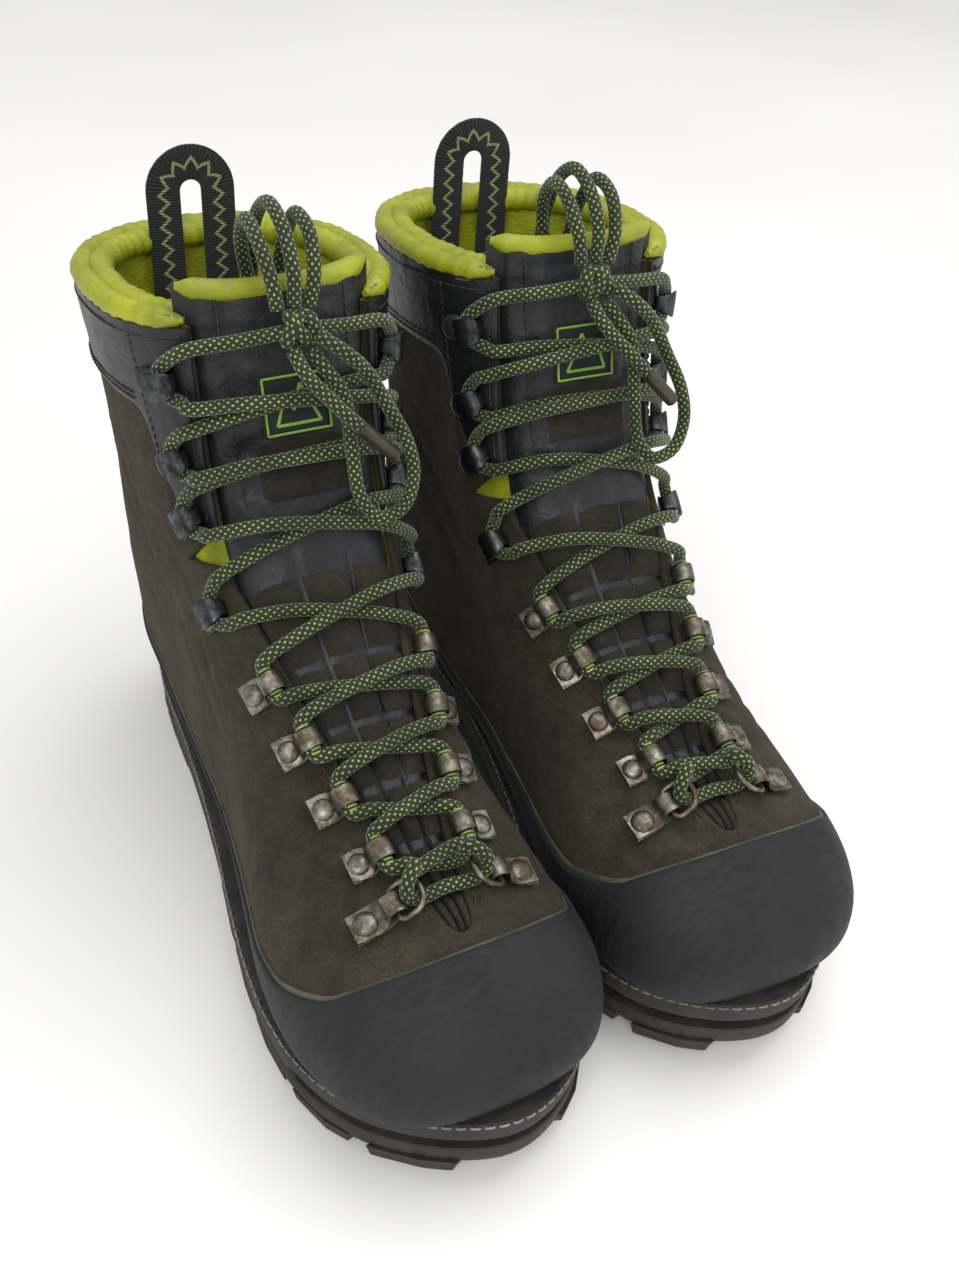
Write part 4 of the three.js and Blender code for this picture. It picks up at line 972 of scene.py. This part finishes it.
def makeSkins(side, base, grid):
    # suede from the sole to the collar, bending at the ankle
    cuts = [("throat", 1, 0), ("notch", 1, 0), ("ground", 1, 6)]
    shape = carve(base, cuts, -skin["suede"], 0.0)
    addPiece("suede", side, shape, finish["suede"], ("lower", "cuff"), ["upper", "cuff"], 50)
    shape = carve(base, [("rand", 1, 0), ("ground", 1, 0)], 0.3, skin["rand"], 1.0)
    addPiece("rand", side, shape, finish["rand"], "lower", ["rand"], 50)
    shape = carve(base, [("rand", 1, -1.6), ("rand", -1, 0.4), ("ground", 1, 4)], 0.1, 0.9, 0.6)
    addPiece("rand_edge", side, shape, finish["rawEdge"], "lower")
    shape = carve(base, [("black", 1, 0), ("throat", 1, 0.1), ("notch", 1, 1.5)], 0.1, skin["collar"], 1.2)
    addPiece("collar_leather", side, shape, finish["black"], ("lower", "cuff"))
    shape = carve(base, [("black", 1, -0.9), ("black", -1, 0.3), ("throat", 1, 0.4), ("notch", 1, 1.5)],
                  0.05, 0.7, 0.4)
    addPiece("collar_edge", side, shape, finish["rawEdge"], ("lower", "cuff"))
    shape = carveLining(base)
    addPiece("lining", side, shape, finish["lining"], ("lower", "cuff"), ["lining", "cuff_padding"],
             60)
    makeRolls(side)
    makeSeams(side, grid)


def carveLining(base):
    # thin in the foot and padded in the cuff
    data, faces, column = base
    thick = np.interp(data[:, column["down"]], [0, 8, 40, 60], [-9, -9.4, -8.6, -5.0])
    packed = np.column_stack([data, thick])
    for name, level in (("throat", 1.2), ("notch", -9), ("ground", 3)):
        packed, faces = cutAt(packed, faces, packed[:, column[name]], level)
    normal = unit(packed[:, 3:6])
    outer = packed[:, :3] - normal * skin["lining"]
    inner = packed[:, :3] + normal * packed[:, -1:]
    count = len(packed)
    shell = faces + [[i + count for i in face[::-1]] for face in faces]
    edges = {(i, face[(k + 1) % len(face)]) for face in faces for k, i in enumerate(face)}
    shell += [[j, i, i + count, j + count] for i, j in edges if (j, i) not in edges]
    return np.concatenate([outer, inner]), shell


roll = {"outer": 3.9, "inner": 4.7, "pucker": 6.3}


def makeRolls(side):
    # padded rolls of coated fabric round the collar, puckered by the stitching
    start = float(turnAt(lastSection, float(throatHalf(lastSection)) + 2))
    end = float(turnAt(lastSection, -float(throatHalf(lastSection)) - 2)) - 2 * math.pi
    turn = np.linspace(start, end, 260)
    point, normal = skinPoint(lastSection, turn), skinNormal(lastSection, turn)
    run = runOf(point)
    ease = np.clip(np.minimum(run, run[-1] - run) / 9, 0.1, 1) ** 0.5
    pucker = 1 + 0.05 * np.sin(run * 2 * math.pi / roll["pucker"]) + 0.04 * np.sin(run * 2 * math.pi / 23)
    up = np.array([0, 0, 1.0])
    outer = tube(point - normal * 2.0 + up * 2.0, roll["outer"] * ease * pucker, 16)
    inner = tube(point - normal * 8.2 + up * 0.8, roll["inner"] * ease * pucker, 16)
    addPiece("collar_rolls", side, joined([outer, inner]), finish["piping"], "cuff", [],
             60)
    edge = tube(point + normal * 0.4 - up * 1.2, 0.8, 8)
    addPiece("collar_binding", side, edge, finish["rawEdge"], "cuff")
    thread = stitched(point - normal * 0.2 + up * 4.2, normal, 3.4, 2.3, 0.3)
    addPiece("roll_stitches", side, thread, finish["paleThread"], "cuff")


seams = {"foot": (3.0, 5.2), "facing": 22.5, "band": (29.5, 27.3)}


def makeSeams(side, grid):
    lower, cuff = [], []
    for sign in (-1, 1):
        for inset in seams["foot"]:
            ts = np.linspace(throatStart + 0.2, ankleRow - 1.1, 120)
            lower.append(stitched(*seam(ts, sign * (throatHalf(ts) + inset), 0.15)))
        ts = np.linspace(ankleRow + 2.1, lastSection - 0.2, 80)
        cuff.append(stitched(*seam(ts, sign * (throatHalf(ts) + 3), 1.5)))
        ts = np.linspace(ankleRow + 2.9, lastSection - 0.2, 80)
        cuff.append(stitched(*seam(ts, sign * (throatHalf(ts) + seams["facing"]), 1.5)))
    for level in seams["band"]:
        route, offs = seamDown(grid, level, 58, 400, 1.5)
        for part in (route[:, 3] > 0, route[:, 3] < 0):
            order = np.argsort(route[part][:, 3])
            cuff.append(stitched(route[part][order][:, :3], offs[part][order]))
    route, offs = seamDown(grid, 4.0, 34, 400, 1.5)
    for part in (route[:, 3] > 0, route[:, 3] < 0):
        order = np.argsort(route[part][:, 3])
        cuff.append(stitched(route[part][order][:, :3], offs[part][order]))
    addPiece("facing_stitches", side, joined(lower), finish["thread"], "lower")
    addPiece("collar_stitches", side, joined(cuff), finish["thread"], "cuff")


def tonguePanel(low, high, wing, top=-0.8, bottom=-6.5, rows=60, columns=34, valleys=(), folds=0.0):
    t = np.linspace(low, high, rows)[:, None]
    share = np.linspace(-1, 1, columns)[None, :]
    t, share = np.broadcast_arrays(t, share)
    half = throatHalf(t)
    across = share * (half + wing)
    outside = np.clip((np.abs(across) - half + 3.5) / 3.0, 0, 1)
    height = top + (-3.1 - top) * outside ** 1.5
    for place in valleys:
        height = height - 1.3 * np.exp(-((across / half - place) / 0.07) ** 2)
    wander = np.vectorize(lambda a, b: noise.noise(Vector((a * 1.3, b / 13, 3))))(t, across)
    height = height + (0.5 + folds) * wander * (1 - outside)
    under = np.where(outside > 0.3, -5.4, bottom)
    rim = np.minimum(np.abs(1 - np.abs(share)) * 8, 1) ** 0.5
    under = under + (1 - rim) * 1.0
    turn = turnAt(t, across)
    point, normal = skinPoint(t, turn), skinNormal(t, turn)
    return slabShape(point + normal * height[..., None], point + normal * under[..., None])


def pad(low, high, left, right, base, rise, rows=12, columns=14):
    t = np.linspace(low, high, rows)[:, None]
    share = np.linspace(0, 1, columns)[None, :]
    t, share = np.broadcast_arrays(t, share)
    half = throatHalf(t)
    across = (left + (right - left) * share) * half
    bulge = np.minimum(np.sin(math.pi * np.linspace(0.02, 0.98, rows))[:, None]
                       * np.sin(math.pi * np.clip(share, 0.02, 0.98)) * 2.2, 1) ** 0.5
    turn = turnAt(t, across)
    point, normal = skinPoint(t, turn), skinNormal(t, turn)
    return slabShape(point + normal * (base + rise * bulge)[..., None], point + normal * (base - 0.6))


tongue = {"shaft": 167, "rise": 10.5, "padBase": -2.4, "padRise": 2.6}


def makeTongue(side):
    shaftStart = rowWhere(1, tongue["shaft"])
    top = lastSection + tongue["rise"] / (sections[lastSection][1] - sections[lastSection - 1][1])
    lower = tonguePanel(throatStart + 0.15, shaftStart + 0.3, 6.5, -1.6, -7.0, 80, 34, (-0.34, 0.34), 0.3)
    addPiece("tongue_gusset", side, lower, finish["padded"], ("lower", "cuff"), ["tongue_lower"])
    upper = tonguePanel(shaftStart - 0.5, top, 5.5, -0.9, -6.6, 60, 40, (-0.62, 0.62), 0.6)
    addPiece("tongue_shaft", side, upper, finish["padded"], "tongue", ["tongue_upper"])
    line = [ringRow + 0.3 - 1.2, ringRow, *tunnelRows, ankleRow]
    pads = []
    for i in range(len(line) - 1):
        low, high = line[i] + 0.07, line[i + 1] - 0.07
        for left, right in ((-0.96, -0.37), (-0.29, 0.29), (0.37, 0.96)):
            pads.append(pad(low, high, left, right, tongue["padBase"], tongue["padRise"]))
    addPiece("tongue_pads", side, joined(pads), finish["tongueSuede"], "lower")
    shaft = [pad(shaftStart + 0.1, hookRows[1] - 0.3, -0.52, 0.52, -1.1, 1.5)]
    addPiece("tongue_shaft_pads", side, joined(shaft), finish["tongueSuede"], "tongue")
    ts = np.linspace(shaftStart + 0.1, top - 0.1, 80)
    threads = [stitched(*seam(ts, s * 0.72 * throatHalf(ts), -0.6)) for s in (-1, 1)]
    addPiece("tongue_stitches", side, joined(threads), finish["thread"], "tongue")
    across = np.linspace(-1.12, 1.12, 60) * throat["ankle"]
    rim = seam(np.full(60, top), across, -3.6)[0]
    ease = np.clip(np.minimum(np.arange(60), 59 - np.arange(60)) / 5, 0.15, 1) ** 0.5
    addPiece("tongue_binding", side, tube(rim, 3.6 * ease, 14), finish["piping"], "tongue")
    makeLabel(side)


label = {"width": 25, "border": 0.45}


def makeLabel(side):
    # plain woven label with a border and a two-peak mark
    half = label["width"] / 2 / throat["ankle"]
    low, high = hookRows[1] - 0.15, hookRows[2] - 0.35
    addPiece("label", side, pad(low, high, -half, half, -0.5, 0.9, 14, 20), finish["label"], "tongue")
    corners = [(low + 0.07, -0.9), (low + 0.07, 0.9), (high - 0.07, 0.9), (high - 0.07, -0.9),
               (low + 0.07, -0.9)]
    foot = low + 0.35
    peaks = [(foot, -0.62), (high - 0.35, -0.12), (foot + 0.45, 0.12), (high - 0.6, 0.32), (foot, 0.62),
             (foot, -0.62)]
    threads = []
    for line, radius in ((corners, label["border"]), (peaks, 0.6)):
        for a, b in zip(line, line[1:]):
            t = np.linspace(a[0], b[0], 12)
            x = np.linspace(a[1], b[1], 12) * label["width"] / 2
            threads.append(tube(seam(t, x, 0.55)[0], radius, 6))
    addPiece("label_mark", side, joined(threads), finish["greenThread"], "tongue")


def outlineAt(along, inset=0.0):
    outer = np.interp(along, soleOutline[:, 0], soleOutline[:, 1])
    inner = np.interp(along, soleOutline[:, 0], soleOutline[:, 2])
    return np.maximum(outer - inset, 0.6), np.maximum(inner - inset, 0.6)


def soleRing(inset, height, count=110):
    # one closed ring round the sole, evenly spaced, at a height above the sprung floor
    share = (1 - np.cos(np.linspace(0, math.pi, 240))) / 2
    along = 0.5 + share * 311
    outer, inner = outlineAt(along)
    loop = np.vstack([np.column_stack([-outer, along]), np.column_stack([inner, along])[::-1]])
    run = np.concatenate([[0], np.cumsum(np.linalg.norm(np.diff(np.vstack([loop, loop[:1]]), axis=0),
                                                        axis=1))])
    even = np.linspace(0, run[-1], 2 * count + 1)[:-1]
    closed = np.vstack([loop, loop[:1]])
    ring = np.column_stack([np.interp(even, run, closed[:, k]) for k in range(2)])
    smooth = ring
    for _ in range(6):
        smooth = (np.roll(smooth, 1, 0) + smooth * 2 + np.roll(smooth, -1, 0)) / 4
    tangent = unit(np.roll(smooth, -1, 0) - np.roll(smooth, 1, 0))
    outward = np.column_stack([-tangent[:, 1], tangent[:, 0]])
    if np.sum(outward * (smooth - [0, 156])) < 0:
        outward = -outward
    moved = smooth - outward * np.broadcast_to(inset, len(smooth))[:, None]
    level = np.broadcast_to(height, len(moved))
    return np.column_stack([moved[:, 0], heelY - moved[:, 1], level + spring(moved[:, 1])]), moved[:, 1]


def ringsShape(rings):
    wide = len(rings[0])
    points = np.concatenate(rings)
    faces = [[i * wide + j, i * wide + (j + 1) % wide, (i + 1) * wide + (j + 1) % wide, (i + 1) * wide + j]
             for i in range(len(rings) - 1) for j in range(wide)]
    # each end is closed by strips between the two long sides
    for base in (0, (len(rings) - 1) * wide):
        for k in range(wide // 2):
            a, b, c, d = k, k + 1, wide - 1 - (k + 1), wide - 1 - k
            face = [base + i for i in (a, b, c, d)] if b < c else [base + a, base + b, base + d]
            if len(set(face)) > 2 and b <= c:
                faces.append(face)
    return points, faces


def makeSoles(side):
    along = soleRing(0, 0)[1]
    reach = sole["grooveReach"]
    ends = np.clip((reach - np.minimum(along, 312 - along)) / 4, 0, 1)
    profile = [(2.4, 13.3, 0), (0.9, 13.5, 0), (0.5, 14.2, 1), (0.5, 17.6, 1), (0.3, 18.5, 0),
               (0.0, 19.3, 0),
               (0.3, 22.0, 0), (0.2, 25.6, 0), (1.0, 26.7, 0), (3.0, 27.0, 0)]
    rings = [soleRing(inset + deep * ends * 3.6, height)[0] for inset, height, deep in profile]
    addPiece("midsole", side, ringsShape(rings), finish["midsole"], "lower", ["midsole"],
             40)
    profile = [(3.2, 4.5), (1.6, 4.7), (0.9, 5.4), (0.5, 8.0), (0.5, 12.0), (1.0, 12.8), (3.0, 13.0)]
    slab = ringsShape([soleRing(inset, height)[0] for inset, height in profile])
    lugs = [slab]
    spans = [(4, 21.5), (26.5, 43.5), (48.5, 62), (66, 82), (126, 149), (155, 181), (187, 213), (219, 245),
             (251, 277), (283, 304)]
    for low, high in spans:
        for sign in (-1, 1):
            lugs.append(lugShape(low, high, sign, 0.25, 1.0))
            if 20 < low < 283:
                lugs.append(lugShape(low + 3, high - 3, sign, 0.72, 0.18, 0.55))
    addPiece("outsole", side, joined(lugs), finish["outsole"], "lower", ["outsole"], 35)
    line = soleRing(-0.1, 25.9)[0]
    closed = np.vstack([line, line[:1]])
    out = unit((closed - line.mean(0)) * [1, 1, 0])
    welt = [stitched(closed, out, 4.6, 3.2, 0.42, 0.1)]
    addPiece("welt_stitches", side, joined(welt), finish["paleThread"], "lower")


def lugShape(low, high, sign, inner, edge, outer=1.0):
    # block of the tread from the outline inward, narrower at the ground
    rows, columns = 7, 7
    levels = []
    for height, draw in ((6.2, 0.0), (1.0, 1.0), (0.0, 1.9)):
        along = np.linspace(low + draw, high - draw, rows)[:, None]
        reach = outlineAt(along[:, 0], 0.6)[0 if sign < 0 else 1][:, None]
        share = np.linspace(inner if outer == 1.0 else edge, outer, columns)[None, :]
        across = reach * share
        across = np.minimum(across, reach - draw * 0.8)
        across = np.maximum(across, reach * share[0, 0] + draw * 0.8)
        jag = 2.2 * np.sin(share * 7 + low)
        y = along + jag * (0.6 if outer == 1.0 else 0.3)
        y, across = np.broadcast_arrays(y, across)
        levels.append(np.stack([sign * across, heelY - y, height + spring(y)], -1))
    bottom = slabShape(levels[0], levels[1])
    foot = slabShape(levels[1], levels[2])
    return joined([bottom, foot])


def moved(place, shape):
    return (placed(place, shape[0]), *shape[1:])


def rivet(x, base, radius=4.1, height=1.7):
    profile = [(0, base - 1.2), (radius * 0.8, base - 1.1), (radius, base),
               (radius * 0.96, base + height * 0.35),
               (radius * 0.75, base + height * 0.75), (radius * 0.4,
                                                       base + height * 0.96), (0, base + height)]
    points, faces = lathed(profile, 28)
    return points + [x, 0, 0], faces


def makeFittings(side):
    for name, sign in (("outer", 1), ("inner", -1)):
        plates, studs = [], []
        for t in tunnelRows:
            place = frameOnUpper(t, sign * tunnelAcross(t))
            plate = sheetPart([(12.2, 1.1), (6, 1.0), (0, 1.0), (-2.6, 1.7), (-3.8, 4.7), (-2.7, 7.5),
                               (0, 8.5),
                               (2.7, 7.6), (3.8, 5.0), (4.6, 2.6), (7.5, 2.0), (12.2, 1.9)],
                              [11, 11, 8, 7, 6.8, 6.8, 6.8, 6.8, 7.4, 9.5, 11, 10], 0.85, 8)
            plates.append(moved(place, plate))
            studs.append(moved(place, rivet(8.0, 2.3, 3.9, 1.7)))
        addPiece(f"lace_tunnels_{name}", side, joined(plates), finish["nickel"], "lower",
                 [f"eyelet_strip_{name}"], 50)
        addPiece(f"tunnel_rivets_{name}", side, joined(studs), finish["nickel"], "lower")
        makeRing(side, name, sign)
        hook = hookShape()
        place = frameOnUpper(ankleRow, sign * hookAcross(ankleRow))
        addPiece(f"ankle_hook_{name}", side, moved(place, hook), finish["gunmetal"], "lower",
                 [f"ankle_hook_{name}"], 50)
        addPiece(f"ankle_rivet_{name}", side, moved(place, rivet(8.0, 2.0, 4.2, 1.6)), finish["nickel"],
                 "lower")
        frames = [frameOnUpper(t, sign * hookAcross(t)) for t in hookRows]
        addPiece(f"cuff_hooks_{name}", side, joined([moved(f, hook) for f in frames]),
                 finish["gunmetal"], "cuff",
                 [f"cuff_hook_strip_{name}"], 50)
        bumps = joined([moved(f, rivet(9.0, 1.9, 5.0, 1.5)) for f in frames])
        addPiece(f"covered_rivets_{name}", side, bumps, finish["padded"], "cuff")


def hookShape():
    return sheetPart([(12, 1.5), (6, 1.5), (0, 1.5), (-1.6, 1.7), (-2.6, 2.9), (-2.8, 5.0), (-2.5, 7.1),
                      (-1.0, 8.4),
                      (2.2, 8.7), (5.6, 8.1)], [9.6, 9.6, 8.5, 6, 5.4, 5.6, 7.6, 9.4, 10, 9.2], 0.95, 8)


def makeRing(side, name, sign):
    place = ringFrame(sign)
    clip = sheetPart([(14.5, 1.1), (6, 1.1), (1, 1.1), (-2.8, 1.6), (-4.3, 4.1), (-3.2, 6.5), (-0.8, 7.3),
                      (1.8, 6.4), (3.4, 3.6), (6, 2.3), (14.5, 2.0)],
                     [11, 11, 8.5, 7.4, 7.2, 7.2, 7.2, 7.4, 10, 11, 10], 0.8, 8)
    shapes = [moved(place, clip), moved(place, rivet(9.5, 2.4, 4.3, 1.8))]
    addPiece(f"d_ring_clip_{name}", side, joined(shapes), finish["nickel"], "lower",
             [f"d_ring_clip_{name}"], 50)
    angle = np.linspace(math.pi / 2, math.pi * 1.5, 26)
    bend = np.column_stack([-6.25 + 5.15 * np.cos(angle), 5.9 * np.sin(angle), np.zeros(26)])
    path = np.vstack([[[-1.3, 4.6, 0], [-2.6, 5.8, 0]], bend,
                      [[-2.6, -5.8, 0], [-1.3, -4.6, 0], [-1.15, 0, 0]]])
    path = smoothRoute(np.vstack([path, path[:1]]), 0.6)[:-1]
    tilt = math.radians(fitting["ringTilt"])
    lifted = fitting["ringAxis"] - path[:, 0] * math.sin(tilt) + path[:, 2] * math.cos(tilt)
    path = np.column_stack([path[:, 0] * math.cos(tilt) + path[:, 2] * math.sin(tilt), path[:, 1], lifted])
    wire = moved(place, tube(path, fitting["ringWire"] / 2, 14, loop=True))
    addPiece(f"d_ring_{name}", side, wire, finish["nickel"], f"ring_{name}", [f"d_ring_{name}"],
             60)


webbing = {"middle": 10.5, "half": 6.4, "thick": 1.6, "y": 137.7, "bottom": 183.5, "centre": 232.3}


def makePullLoop(side):
    # tape bent to an upturned U, sewn to the back of the cuff by both legs
    angle = np.linspace(math.pi, 0, 36)
    rise = np.linspace(webbing["bottom"], webbing["centre"], 30)[:-1]
    middle = webbing["middle"]
    path = np.vstack([np.column_stack([np.full(29, -middle), rise]),
                      np.column_stack([middle * np.cos(angle), webbing["centre"] + middle * np.sin(angle)]),
                      np.column_stack([np.full(29, middle), rise[::-1]])])
    tangent = unit(np.gradient(path, axis=0))
    across = np.column_stack([tangent[:, 1], -tangent[:, 0]])
    shares = np.linspace(-1, 1, 9)
    run = np.concatenate([[0], np.cumsum(np.linalg.norm(np.diff(path, axis=0), axis=1))])
    flat = path[:, None] + across[:, None] * (shares * webbing["half"])[None, :, None]
    wave = 0.12 * np.sin(run * 2)[:, None] * np.ones(9)
    half = webbing["thick"] / 2 * (1 - 0.4 * np.abs(shares) ** 8)[None, :]
    back = np.stack([flat[..., 0], webbing["y"] + half + wave, flat[..., 1]], -1)
    front = np.stack([flat[..., 0], webbing["y"] - half + wave, flat[..., 1]], -1)
    places = np.stack(np.broadcast_arrays(run[:, None], (shares[None, :] + 1) / 2), -1)
    addPiece("pull_loop", side, slabShape(back, front, places), finish["webbing"], "cuff",
             ["pull_loop"], 60)
    threads = []
    for x in (-middle, middle):
        for height in (186.5, 214, 217):
            line = np.column_stack([np.linspace(x - 5.2, x + 5.2, 12), np.full(12, webbing["y"] + 0.95),
                                    np.full(12, height)])
            threads.append(stitched(line, np.tile([0, 1.0, 0], (12, 1)), 2.3, 1.7, 0.3))
    addPiece("pull_loop_stitches", side, joined(threads), finish["paleThread"], "cuff")


def refinish():
    # nodes kept from the CAD model get the finished materials
    for side in boots:
        for node, material in (("footbed", "felt"), ("insole_board", "board")):
            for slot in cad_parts[f"{side}_{node}"].material_slots:
                slot.material = finish[material]


makeCamera()
makeLights()
for side in boots:
    makeLaces(side)
    makeBow(side)
print("camera, lights and laces made")
grid = skinGrid()
base = buildSkin(grid)
for side in boots:
    makeSkins(side, base, grid)
    makeTongue(side)
print("skins and tongues made")
for side in boots:
    makeSoles(side)
    makeFittings(side)
    makePullLoop(side)
print("soles, fittings and loops made")
refinish()
makeFloor()
